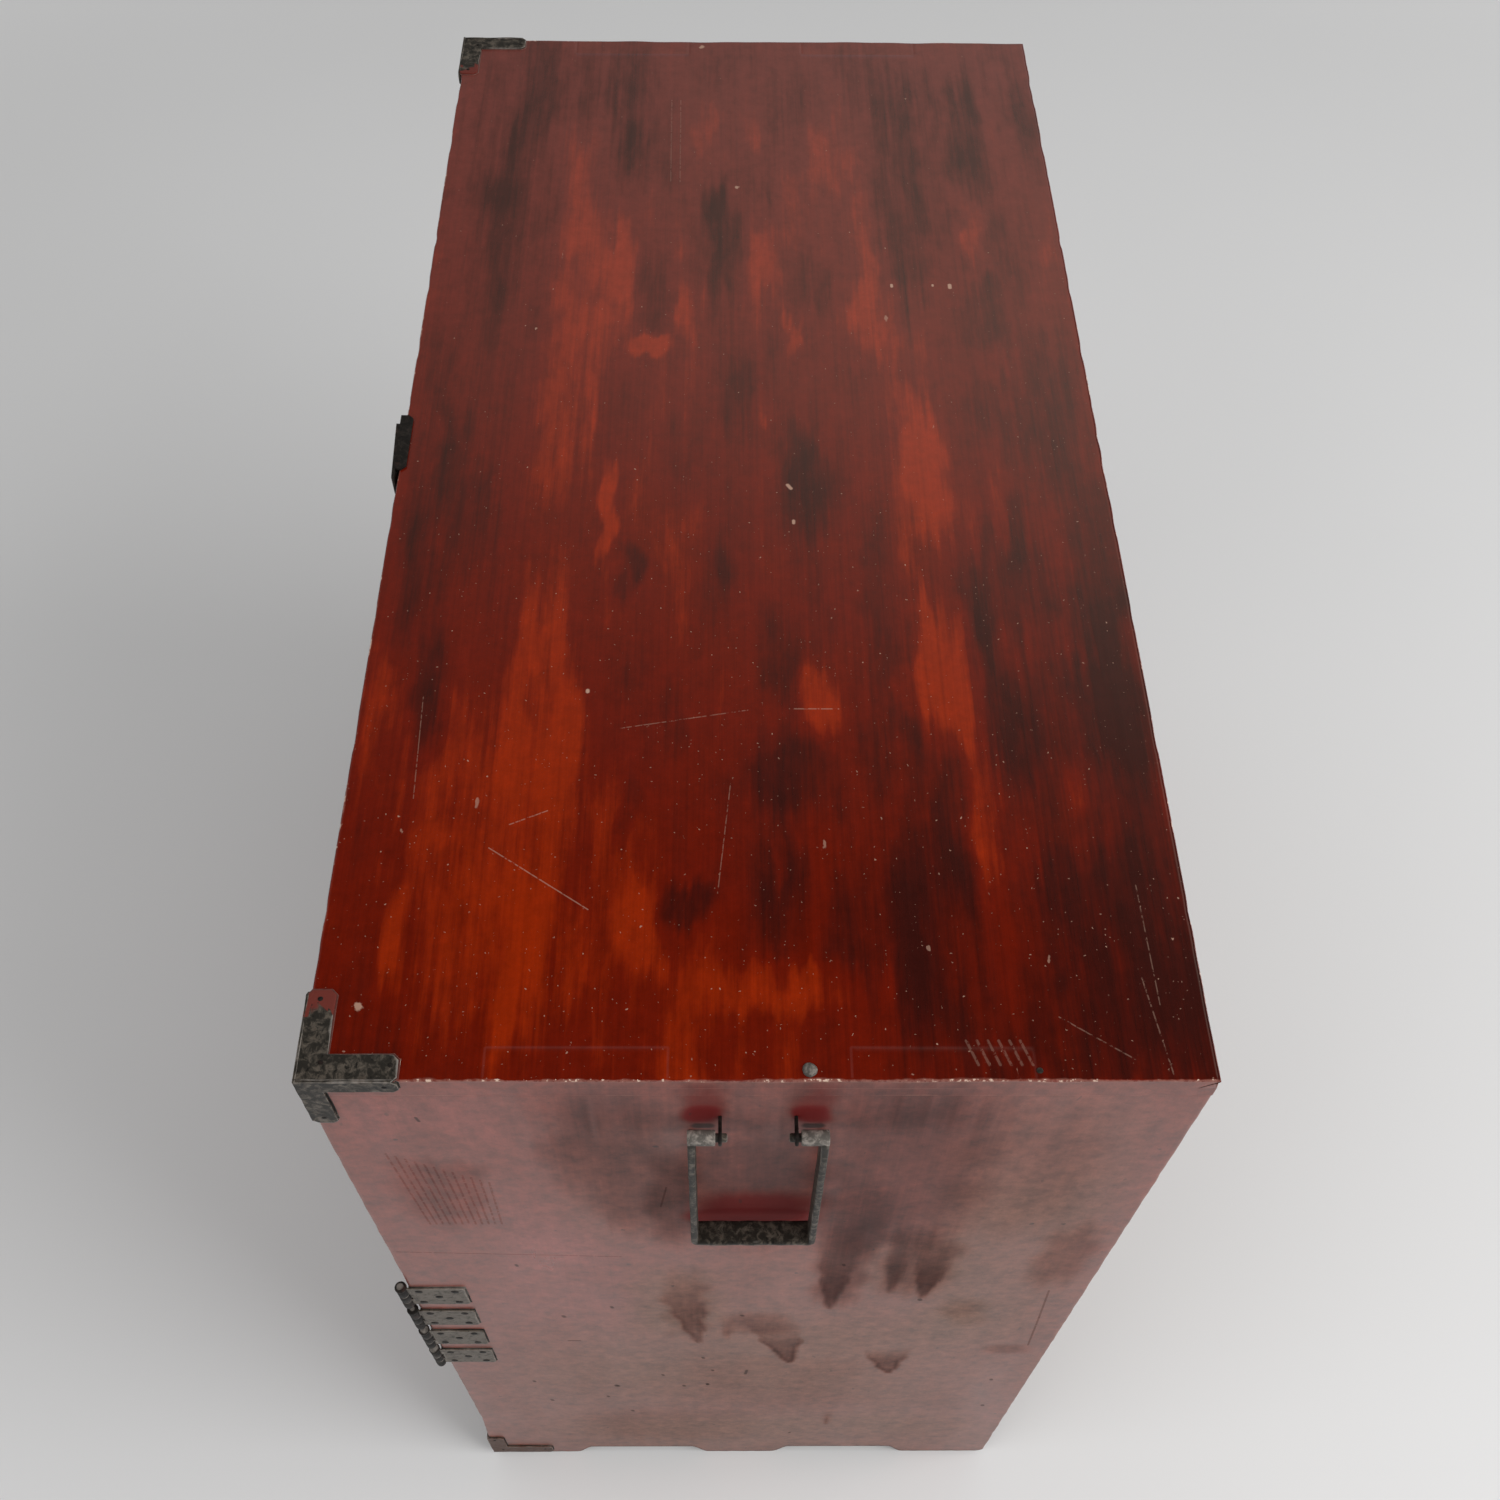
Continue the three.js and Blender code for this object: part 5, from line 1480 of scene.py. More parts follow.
@dataclass
class CornerIrons:
    """The irons round the four front corners: flat plates with nails, the top ones on a lip of lacquer."""

    iron: Material
    rusted: Material
    nail: Material
    lip: Material
    plate: float = 1.5
    seat: float = 0.2
    cut: float = 3.0
    arm: float = 51.0
    top_width: float = 15.5
    side_drop: float = 13.5
    side_top: float = 12.0
    front_drop: float = 18.0
    base: float = 8.0
    rise: float = 55.0
    band: float = 21.0
    reach: float = 56.0
    low_width: float = 15.0
    nail_radius: float = 1.35
    nail_rise: float = 0.35
    top_nails: tuple[Spot, ...] = ((45.6, 7.6), (11.0, 12.6), (9.5, 47.0))
    end_nails: tuple[Spot, ...] = ((7.0, 44.0), (44.0, 6.0))
    front_nails: tuple[Spot, ...] = ((44.0, 6.0), (8.0, 44.0))
    form: PlateForm = PlateForm(0.4, 0.4, 0.35, 2.5, (2.6, 1.0))
    lip_form: PlateForm = PlateForm(0.12, 0.5, 0.25, 2.0, (0.8,))
    lip_past: float = 0.8
    dirt_past: float = 0.9

    def build(self) -> None:
        """Builds all four."""
        for side in Side:
            self.top_iron(side)
            self.bottom_iron(side)

    def nails(self, places: list[Spot], facing: Facing, surface: float, way: int) -> list[Shell]:
        """Small nail heads at places given along the plate's own axes."""
        shells = []
        for a, b in places:
            at = [0.0, 0.0, 0.0]
            for axis, value in zip(facing.value, (a, b, surface)):
                at[axis] = value
            shells.append(stud(tuple(at), facing, way, self.nail_radius, self.nail_rise, 1))
        return shells

    def top_iron(self, side: Side) -> None:
        """A top corner: plates on the top, the end and the front."""
        way = side.value
        x, y = CASE.end + self.seat + self.plate, CASE.front - self.seat - self.plate
        z = CASE.height + self.seat + self.plate
        on_top = corner_outline(self.arm, self.arm, self.top_width, self.top_width, self.cut)
        on_side = corner_outline(self.arm, self.arm, self.side_top, self.side_drop, self.cut)
        on_front = corner_outline(self.arm, self.arm, self.side_top, self.front_drop, self.cut)
        crown = z - self.nail_rise
        top = self.form.shell(on_top * (-way, 1) + (way * x, y), z - self.plate, crown, Facing.UP, 3)
        faces = sorted((way * x, way * (x - self.plate)))
        end = self.form.shell(on_side * (1, -1) + (y, z), *faces, Facing.END, 5)
        front = self.form.shell(on_front * (-way, -1) + (way * x, z), y, y + self.plate, Facing.FRONT, 7)
        dirt = self.dirt(on_side, (1, -1), (y, z), way)
        left = smoothstep(x - 33, x - 41, way * top.points[:, 0])
        top.tone = np.clip(left + 0.5 * field_noise(top.points, 1 / 9, 2) * left, 0, 1.2)
        shells = [top, end, front, dirt]
        shells += self.nails([(way * (x - a), y + b) for a, b in self.top_nails], Facing.UP, crown, 1)
        shells += self.nails([(y + a, z - b) for a, b in self.end_nails], Facing.END, way * x, way)
        shells += self.nails([(way * (x - a), z - b) for a, b in self.front_nails], Facing.FRONT, y, -1)
        name = f"top_{side.label}_corner_iron"
        Piece(f"{name}_forged", "case", "wrought_iron", [self.iron, self.nail], shells, (name,)).build()
        brim = self.wider(on_top, self.lip_past) * (-way, 1) + (way * x, y)
        lip = self.lip_form.shell(brim, CASE.height - 0.4, CASE.height + 0.28, Facing.UP, 11)
        Piece(f"{name}_lip", "case", "top_lacquer", [self.lip], [lip]).build()

    def dirt(self, outline: Points, turn: tuple[int, int], at: Spot, way: int) -> Shell:
        """A dark rim of dirt on the end board, just wider than the plate over it."""
        faces = sorted((way * (CASE.end - 0.2), way * (CASE.end + 0.12)))
        made = THIN_SHEET_FORM.shell(self.wider(outline, self.dirt_past) * turn + at, *faces, Facing.END, 19)
        made.refinish(1)
        return made

    def wider(self, outline: Points, by: float) -> Points:
        """An L grown on its inner sides only."""
        return outline - mitred(outline) * by * (outline > by)

    def bottom_iron(self, side: Side) -> None:
        """A bottom corner: plates on the end and the front."""
        way = side.value
        x, y = CASE.end + self.seat + self.plate, CASE.front - self.seat - self.plate
        shape = corner_outline(self.reach, self.rise, self.band, self.low_width, self.cut)
        faces = sorted((way * x, way * (x - self.plate)))
        end = self.form.shell(shape + (y, self.base), *faces, Facing.END, 13)
        front = self.form.shell(shape * (-way, 1) + (way * x, self.base), y, y + self.plate, Facing.FRONT, 17)
        shells = [end, front, self.dirt(shape, (1, 1), (y, self.base), way)]
        places = ((6.5, self.rise - 6.5), (10, 10), (self.reach - 7, self.band - 8))
        shells += self.nails([(y + a, self.base + b) for a, b in places], Facing.END, way * x, way)
        shells += self.nails([(way * (x - a), self.base + b) for a, b in places], Facing.FRONT, y, -1)
        name = f"bottom_{side.label}_corner_iron"
        Piece(f"{name}_forged", "case", "rusted_iron", [self.rusted, self.nail], shells, (name,)).build()


@dataclass
class Hinges:
    """The safe door's hinges: a leaf on the case, a leaf on the door, and three knuckles round a pin."""

    iron: Material
    nail: Material
    count: int = 4
    half_leaf: float = 17.0
    leaf_reach: float = 42.2
    door_reach: float = 74.0
    plate: float = 1.4
    cut: float = 2.0
    barrel: float = 3.6
    half_barrel: float = 18.5
    pin: float = 1.8
    cap: float = 4.0
    cap_height: float = 2.4
    clear: float = 4.6
    seat: float = 0.2
    soft: float = 0.5
    nail_row: float = 11.5
    nail_rise: float = 0.45
    case_nail: float = 2.7
    door_nail: float = 1.9
    form: PlateForm = PlateForm(0.4, 0.4, 0.3, 2.5, (2.6, 1.0))

    def leaf(self, start: float, reach: float) -> Points:
        """A leaf's outline, away from the barrel and up and down, with its far corners cut."""
        rise, cut = self.half_leaf, self.cut
        far = [(reach - cut, -rise), (reach, cut - rise), (reach, rise - cut), (reach - cut, rise)]
        return np.array([(start, -rise), *far, (start, rise)])

    def knuckle(self, at: Spot, low: float, high: float, radius: float) -> Shell:
        """A length of rolled barrel with softened ends."""
        soft, edge = self.soft, self.soft * 0.3
        along = np.array([low, low + edge, low + soft, (low + high) / 2, high - soft, high - edge, high])
        return turned_bar(at, along, radius - np.array([soft, 0.2, 0, -0.08, 0, 0.2, soft]), Facing.UP)

    def nails(
        self, places: list[Spot], at: Spot, facing: Facing, way: int, face: float, radius: float
    ) -> list[Shell]:
        """Nail heads on a leaf, given by their distances from the barrel and from the leaf's middle."""
        heads = (facing.place(at[0] + a, at[1] + b, face) for a, b in places)
        return [stud(tuple(head), facing, way, radius, self.nail_rise, 1) for head in heads]

    def build(self) -> None:
        """Builds the two leaves of each hinge on its own body."""
        for number in range(1, self.count + 1):
            low, high = CASE.box(f"hinge_{number}_case_leaf")
            middle = (low[2] + high[2] - self.cap_height) / 2
            at = (high[0] - self.cap, low[1] + self.cap)
            self.case_leaf(number, at, middle)
            self.door_leaf(number, at, middle)

    def case_leaf(self, number: int, at: Spot, middle: float) -> None:
        """The leaf that lies on the end board, with the outer knuckles, the pin and its cap."""
        span = self.half_barrel / 3
        faces = (at[0] - self.plate / 2, at[0] + self.plate / 2)
        outline = self.leaf(self.clear, self.leaf_reach) + (at[1], middle)
        shells = [self.form.shell(outline, *faces, Facing.END, number)]
        for s in (-1, 1):
            rises = sorted((middle + s * (span + 0.1), middle + s * self.half_leaf))
            tab = rectangle((at[1], at[1] + self.clear + 1), rises)
            shells.append(self.form.shell(tab, *faces, Facing.END, 9))
        top, foot = middle + self.half_barrel, middle - self.half_barrel
        for low, high, radius in (
            (middle + span, top, self.barrel),
            (foot, middle - span, self.barrel),
            (foot, top, self.pin),
        ):
            shells.append(self.knuckle(at, low, high, radius))
        # A dark sheet round the leaf on the end board: painted shade along the leaf's edges, together with
        # grime.
        rises = (middle - self.half_leaf - 0.5, middle + self.half_leaf + 1.1)
        grime_and_shade = rectangle((at[1] + self.clear, at[1] + self.leaf_reach + 0.9), rises)
        shells.append(THIN_SHEET_FORM.shell(grime_and_shade, CASE.end - 0.2, CASE.end + 0.12, Facing.END, number + 50))
        along = top + self.cap_height * np.array([0, 0.12, 0.5, 0.8, 0.95, 1.0])
        shells.append(turned_bar(at, along, self.cap * np.array([0.9, 1.0, 0.98, 0.8, 0.5, 0.2]), Facing.UP))
        for shell in shells[3:]:
            shell.refinish(1)
        places = [*((a, b) for a in (11, 35) for b in (-self.nail_row, self.nail_row)), (23, 0)]
        shells += self.nails(places, (at[1], middle), Facing.END, 1, faces[1], self.case_nail)
        name = f"hinge_{number}_case_leaf"
        Piece(f"{name}_forged", "case", "wrought_iron", [self.iron, self.nail], shells, (name,)).build()

    def door_leaf(self, number: int, at: Spot, middle: float) -> None:
        """The leaf that lies on the door, with the middle knuckle and the tongue that joins them."""
        band = self.half_barrel / 3 - 0.4
        faces = (CASE.front - self.seat - self.plate, CASE.front - self.seat)
        outline = self.leaf(self.clear, self.door_reach) * (-1, 1) + (at[0], middle)
        shells = [self.form.shell(outline, *faces, Facing.FRONT, number + 20)]
        tongue = rectangle((at[0] - self.clear - 1, at[0]), (middle - band, middle + band))
        shells.append(self.form.shell(tongue, *faces, Facing.FRONT, 8))
        shells.append(self.knuckle(at, middle - band, middle + band, self.barrel))
        shells[-1].refinish(1)
        rows = ((-a, b) for a in (12, 66, 39) for b in (-self.nail_row, self.nail_row))
        places = [*rows, (-52, 0), (-26, 0)]
        shells += self.nails(places, (at[0], middle), Facing.FRONT, -1, faces[0], self.door_nail)
        name = f"hinge_{number}_door_leaf"
        Piece(f"{name}_forged", "safe_door", "wrought_iron", [self.iron, self.nail], shells, (name,)).build()


def swept(
    path: Points, thick: Points, broad: Points, at: float, facing: Facing, square: float
) -> tuple[Points, Points]:
    """Carries a rounded rectangle along a path.

    A point of the section is at sign(cos t)|cos t|^p and sign(sin t)|sin t|^p, where p falls as the bar gets
    squarer.

    Args:
        path: The middle line, in the plane's two axes.
        thick: Half the bar's size in the plane, by place on the path.
        broad: Half its size along the plane's normal, by place on the path.
        at: Where the path lies along the normal.
        facing: The plane.
        square: 0 for a round bar, up to 1 for a sharp-edged strap.

    Returns:
        The rings, and how far each point of the section is from a corner, as a share.
    """
    run = np.gradient(path, axis=0)
    run /= np.linalg.norm(run, axis=1, keepdims=True)
    across = np.stack([-run[:, 1], run[:, 0]], -1)
    t = np.linspace(0, 2 * np.pi, 20, endpoint=False)
    power = 1 - 0.58 * square
    face = np.sign(np.cos(t)) * np.abs(np.cos(t)) ** power
    width = np.sign(np.sin(t)) * np.abs(np.sin(t)) ** power
    flat = path[:, None] + across[:, None] * (face * thick[:, None])[..., None]
    rings = facing.place(flat[..., 0], flat[..., 1], at + width * broad[:, None])
    return rings, 1 - np.minimum(np.abs(face), np.abs(width)) ** 2 * square


@dataclass(frozen=True)
class Bail:
    """A forged U that hangs from two pins.

    Attributes:
        half: Half its width.
        thickness: Its thickness in its own plane.
        strap: Its depth out of that plane.
        drop: How far it hangs below the pins.
        corner: The rounding of its lower corners.
        knuckle: The length of each rolled end.
        knuckle_radius: Its radius.
        pin_radius: The pins' radius.
        pin_end: How far from the middle the pins end.
        square: 0 for a round bar, up to 1 for a sharp-edged strap.
    """

    half: float
    thickness: float
    strap: float
    drop: float
    corner: float
    knuckle: float
    knuckle_radius: float
    pin_radius: float
    pin_end: float
    square: float

    def path(self) -> Points:
        """The middle line of the U from the pivot: down one arm, round, along the foot and up again."""
        reach = self.half - self.thickness / 2
        foot = self.thickness / 2 - self.drop
        radius = self.corner - self.thickness / 2
        arm = np.linspace(0, foot + radius, 26)
        turn = np.linspace(np.pi, 1.5 * np.pi, 7)[1:-1]
        base = np.linspace(-reach + radius, 0, 12)
        bend = np.stack([radius * (1 + np.cos(turn)) - reach, foot + radius * (1 + np.sin(turn))], -1)
        down, level = np.stack([0 * arm - reach, arm], -1), np.stack([base, 0 * base + foot], -1)
        half = np.concatenate([down, bend, level])
        return np.concatenate([half, half[-2::-1] * (-1, 1)])

    def shells(self, middle: float, pivot: float, out: float, facing: Facing, seed: int) -> list[Shell]:
        """Carries the bar along the U, and adds the two rolled knuckles and their pins.

        Args:
            middle: Where the middle of the U is, along the pivot.
            pivot: The pivot's height.
            out: Where it is along the facing's normal.
            facing: The plane that it hangs in.
            seed: Which hammering it gets.

        Returns:
            Closed shells.
        """
        path = self.path()
        share = np.linspace(0, 1, len(path))
        taper = smoothstep(0, self.strap * 1.3, -path[:, 1])
        narrow = min(self.knuckle_radius, self.strap / 2)
        beaten = 0.98 + 0.02 * np.clip(wander(share, 9, seed), -1, 1)
        broad = (narrow + (self.strap / 2 - narrow) * taper) * beaten
        thick = self.thickness / 2 * (0.95 + 0.05 * np.clip(wander(share, 11, seed + 2), -1, 1))
        rings, flat = swept(path + (middle, pivot), thick, broad, out, facing, self.square)
        made = [ring_shell(rings, 0.1 + 1.5 * flat, -0.15 * (1 - taper)[:, None])]
        cross = {Facing.END: Facing.FRONT, Facing.FRONT: Facing.END}[facing]
        for end in (-1, 1):
            inner = self.half - self.knuckle + np.array([0, 0.2, 0.7])
            reach = middle + end * np.concatenate([inner, self.half - np.array([3, 0.7, 0.2, 0])])
            size = self.knuckle_radius * np.array([0.8, 0.94, 1.0, 1.0, 1.0, 0.94, 0.8])
            knuckle = turned_bar((out, pivot), reach, size, cross)
            knuckle.tone = knuckle.tone - 0.75
            pin = middle + end * np.array([self.pin_end - 0.8, self.pin_end, self.half - 2])
            pin_size = self.pin_radius * np.array([0.7, 1.0, 1.0])
            made += [knuckle, turned_bar((out, pivot), pin, pin_size, cross)]
        return made


@dataclass
class Handles:
    """The lifting handles on the ends and the drop handles on the drawers."""

    iron: Material
    dark: Material
    lifting: Bail = Bail(36.5, 4.5, 14.4, 150.0, 5.0, 14.5, 4.2, 2.35, 16.6, 1.0)
    wire: float = 0.95
    staple_at: float = 19.6
    loop: float = 3.4
    drop: Bail = Bail(46.0, 6.0, 6.0, 42.0, 9.0, 10.0, 2.8, 1.65, 29.6, 0.15)

    def staple(self, side: Side, out: float, pivot: float, at: float) -> Shell:
        """A split pin of bent wire: an eye round the handle's pin, and two legs into the end board."""
        turn = np.linspace(-0.78, 0.78, 22) * np.pi
        eye = np.stack([np.cos(turn), np.sin(turn)], -1) * (side.value * self.loop, self.loop) + (out, pivot)
        neck, root = side.value * (CASE.end + 3.2), side.value * (CASE.end - 0.6)
        legs = [np.array([(root, pivot + s * 1.5), (neck, pivot + s * 1.5)]) for s in (-1, 1)]
        path = np.concatenate([legs[0], eye, legs[1][::-1]])
        half = np.full(len(path), self.wire)
        rings, flat = swept(path, half, half, at, Facing.FRONT, 0.1)
        return ring_shell(rings, 3 + flat)

    def build(self) -> None:
        """Builds every bail and split pin in its CAD node's place."""
        for side in Side:
            name = f"{side.label}_handle_bail"
            low, high = CASE.box(name)
            pivot, out = high[2] - self.lifting.knuckle_radius, (low[0] + high[0]) / 2
            shells = self.lifting.shells(0.0, pivot, out, Facing.END, 4 + side.value)
            body = f"{side.label}_handle"
            Piece(f"{name}_forged", body, "wrought_iron", [self.iron], shells, (name,)).build()
            for end, way in (("front", -1), ("rear", 1)):
                eye = f"{side.label}_handle_{end}_eye"
                staple = self.staple(side, out, pivot, way * self.staple_at)
                Piece(f"{eye}_bent", "case", "wrought_iron", [self.dark], [staple], (eye,)).build()
        for k, drawer in enumerate((*WIDE_PULLS["top_drawer"], *WIDE_PULLS["bottom_drawer"], *SMALL_DRAWERS)):
            name = f"{drawer}_pull_bail"
            low, high = CASE.box(name)
            pivot, out = high[2] - self.drop.knuckle_radius, (low[1] + high[1]) / 2
            shells = self.drop.shells((low[0] + high[0]) / 2, pivot, out, Facing.FRONT, 30 + k)
            Piece(f"{name}_forged", name, "wrought_iron", [self.iron], shells, (name,)).build()


@dataclass(frozen=True)
class Nails:
    """All the nail heads of one body, in one piece."""

    name: str
    body: str
    finish: Material
    places: tuple[Place, ...]
    facing: Facing
    way: int
    radius: float = 2.4
    rise: float = 0.8
    polish: float = 0.0

    def build(self) -> Object:
        """Makes a dome at each place."""
        shells = [stud(place, self.facing, self.way, self.radius, self.rise) for place in self.places]
        for shell in shells:
            shell.tone = shell.tone - self.polish
        return Piece(self.name, self.body, "wrought_iron", [self.finish], shells).build()


def plate_nails(node: str, margin: float, columns: int, rows: int) -> tuple[Place, ...]:
    """Places round the border of a front plate, this far in from its box, in even columns and rows."""
    low, high = CASE.box(node)
    xs = np.linspace(low[0] + margin, high[0] - margin, columns)
    zs = np.linspace(low[2] + margin, high[2] - margin, rows)
    border = [(x, z) for x in xs for z in zs if x in xs[[0, -1]] or z in zs[[0, -1]]]
    return tuple((x, low[1], z) for x, z in border)


@dataclass(frozen=True)
class Finishes:
    """Every finish of the chest."""

    top: Material
    side: Material
    front: Material
    lip: Material
    iron: Material
    rusted: Material
    nail: Material
    leaf: Material
    bare: dict[Grain, Material]
    case: dict[Grain, Material]

    @classmethod
    def build(cls, effects: Effects) -> "Finishes":
        """Builds every finish.

        Args:
            effects: The shared shader groups.

        Returns:
            The finishes.
        """
        top = Lacquer(
            "Top lacquer",
            pale=(0.245, 0.016, 0.0007),
            middle=(0.122, 0.0056, 0.0006),
            dark=(0.034, 0.0036, 0.0022),
            rub=(0.26, 0.1, 0.075),
            dusty=(0.2, 0.085, 0.075),
            roughness=0.15,
            streaking=2.5,
            clouding=2.0,
            depths=1.3,
            hairs=0.14,
            reach=1.5,
            chipping=0.6,
            specks=(0.03, 0.34),
            nicks=0.04,
            bare=(0.6, 0.42, 0.33),
            marks=TOP_MARKS,
        )
        side = Lacquer(
            "Side lacquer",
            pale=(0.26, 0.065, 0.052),
            middle=(0.195, 0.045, 0.03),
            dark=(0.06, 0.0155, 0.012),
            rub=(0.3, 0.14, 0.11),
            dusty=(0.19, 0.115, 0.078),
            mark=(0.03, 0.012, 0.01),
            grain=Grain.UPRIGHT,
            roughness=0.3,
            stain_matt=0.6,
            streaking=0.5,
            clouding=0.9,
            hairs=0.08,
            brushing=0.25,
            depths=0.9,
            mottling=2.4,
            reach=1.3,
            chipping=0.3,
            specks=(0.25, 0.5),
            nicks=0.5,
            marks=SIDE_MARKS_AND_SHADOWS,
        )
        front = replace(
            top,
            name="Front lacquer",
            pale=(0.24, 0.035, 0.008),
            middle=(0.13, 0.013, 0.004),
            dark=(0.03, 0.005, 0.003),
            streaking=2.6,
            chipping=0.35,
            reach=3.0,
            specks=(0.02, 0.03),
            nicks=0.0,
            marks=(),
        )
        lip = replace(
            front,
            name="Lacquer lip",
            pale=(0.2, 0.09, 0.075),
            middle=(0.12, 0.045, 0.037),
            dark=(0.03, 0.01, 0.008),
            reach=0.4,
        )
        iron = Iron(
            "Wrought iron",
            scale=(0.015, 0.0125, 0.0095),
            worn=(0.115, 0.094, 0.073),
            rust=(0.045, 0.026, 0.017),
            rusting=0.3,
            metal=0.2,
            roughness=0.58,
        )
        rusted = replace(
            iron,
            name="Rusted iron",
            scale=(0.025, 0.016, 0.012),
            worn=(0.08, 0.055, 0.042),
            rust=(0.085, 0.04, 0.026),
            rusting=0.85,
        )
        nail = replace(
            iron,
            name="Nail iron",
            scale=(0.006, 0.0045, 0.004),
            worn=(0.02, 0.015, 0.012),
            rust=(0.03, 0.013, 0.01),
            rusting=0.4,
            metal=0.0,
            roughness=0.72,
        )
        leaf = replace(iron, name="Leaf iron", scale=(0.045, 0.038, 0.03), wear=0.75, rusting=0.15)
        drawer = BareWood("Drawer wood", (0.5, 0.34, 0.2), (0.3, 0.17, 0.08), (0.16, 0.09, 0.05))
        case = BareWood("Inner wood", (0.2, 0.1, 0.055), (0.11, 0.05, 0.028), (0.05, 0.025, 0.016))
        case = replace(case, front=(0.13, 0.013, 0.004))
        return cls(
            *(finish.build(effects) for finish in (top, side, front, lip, iron, rusted, nail, leaf)),
            cls.by_grain(drawer, effects),
            cls.by_grain(case, effects),
        )

    @staticmethod
    def by_grain(wood: BareWood, effects: Effects) -> dict[Grain, Material]:
        """A bare wood for each way that boards run."""
        made = {}
        for grain in Grain:
            name = f"{wood.name} {grain.name.lower()}"
            made[grain] = replace(wood, name=name, grain=grain).build(effects)
        return made

    def dress(self) -> None:
        """Gives every CAD node the finish of its slot in the record."""
        finishes = {
            "top_lacquer": self.top,
            "side_lacquer": self.side,
            "front_lacquer": self.front,
            "drawer_wood": self.bare[Grain.DEEP],
            "case_wood": self.case[Grain.ACROSS],
            "wrought_iron": self.iron,
            "rusted_iron": self.rusted,
        }
        odd = {"safe_partition": self.case[Grain.UPRIGHT], "lock_keeper": self.nail}
        for row in frame["record"]["subparts"]:
            node = frame["nodes"][row["node"]]
            finish = odd.get(row["node"], finishes[row["material_slot"]])
            node.data.materials.clear()
            node.data.materials.append(finish)
        log.info("finished %d CAD nodes", len(frame["nodes"]))


@dataclass(frozen=True)
class Studs:
    """The loose nail heads of the top and of the plates on the fronts."""

    finishes: Finishes
    tack: Spot = (448.7, 24.7)
    small: Spot = (449.0, 138.0)
    pull_nails: tuple[float, ...] = (-46.5, -17.0, 17.0, 46.5)
    pull_drop: float = 2.8
    plate: float = 0.7

    def build(self) -> None:
        """Builds them, body by body."""
        iron, nail = self.finishes.iron, self.finishes.nail
        tack, small = ((*spot, CASE.height) for spot in (self.tack, self.small))
        Nails("top_tack", "case", iron, (tack,), Facing.UP, 1, 3.9, 1.3, 0.45).build()
        Nails("top_nail", "case", iron, (small,), Facing.UP, 1, 1.7, 0.5).build()
        lock = plate_nails("top_drawer_lock_plate", 7.5, 5, 5)
        drawers = {"top_drawer": lock + self.pulls(*WIDE_PULLS["top_drawer"])}
        drawers["bottom_drawer"] = self.pulls(*WIDE_PULLS["bottom_drawer"])
        drawers |= {drawer: self.pulls(drawer) for drawer in SMALL_DRAWERS}
        for drawer, places in drawers.items():
            Nails(f"{drawer}_nails", drawer, nail, places, Facing.FRONT, -1).build()
        door = plate_nails("safe_door_lock_plate", 6.5, 4, 5)
        Nails("safe_door_nails", "safe_door", nail, door, Facing.FRONT, -1, 2.1).build()

    def pulls(self, *drawers: str) -> tuple[Place, ...]:
        """Four nails on each drop handle's back plate: two beyond its eyes and two between them."""
        places = []
        for drawer in drawers:
            low, high = CASE.box(f"{drawer}_pull_bail")
            middle, height = (low[0] + high[0]) / 2, high[2] - self.pull_drop
            places += [(middle + x, CASE.front - self.plate, height) for x in self.pull_nails]
        return tuple(places)


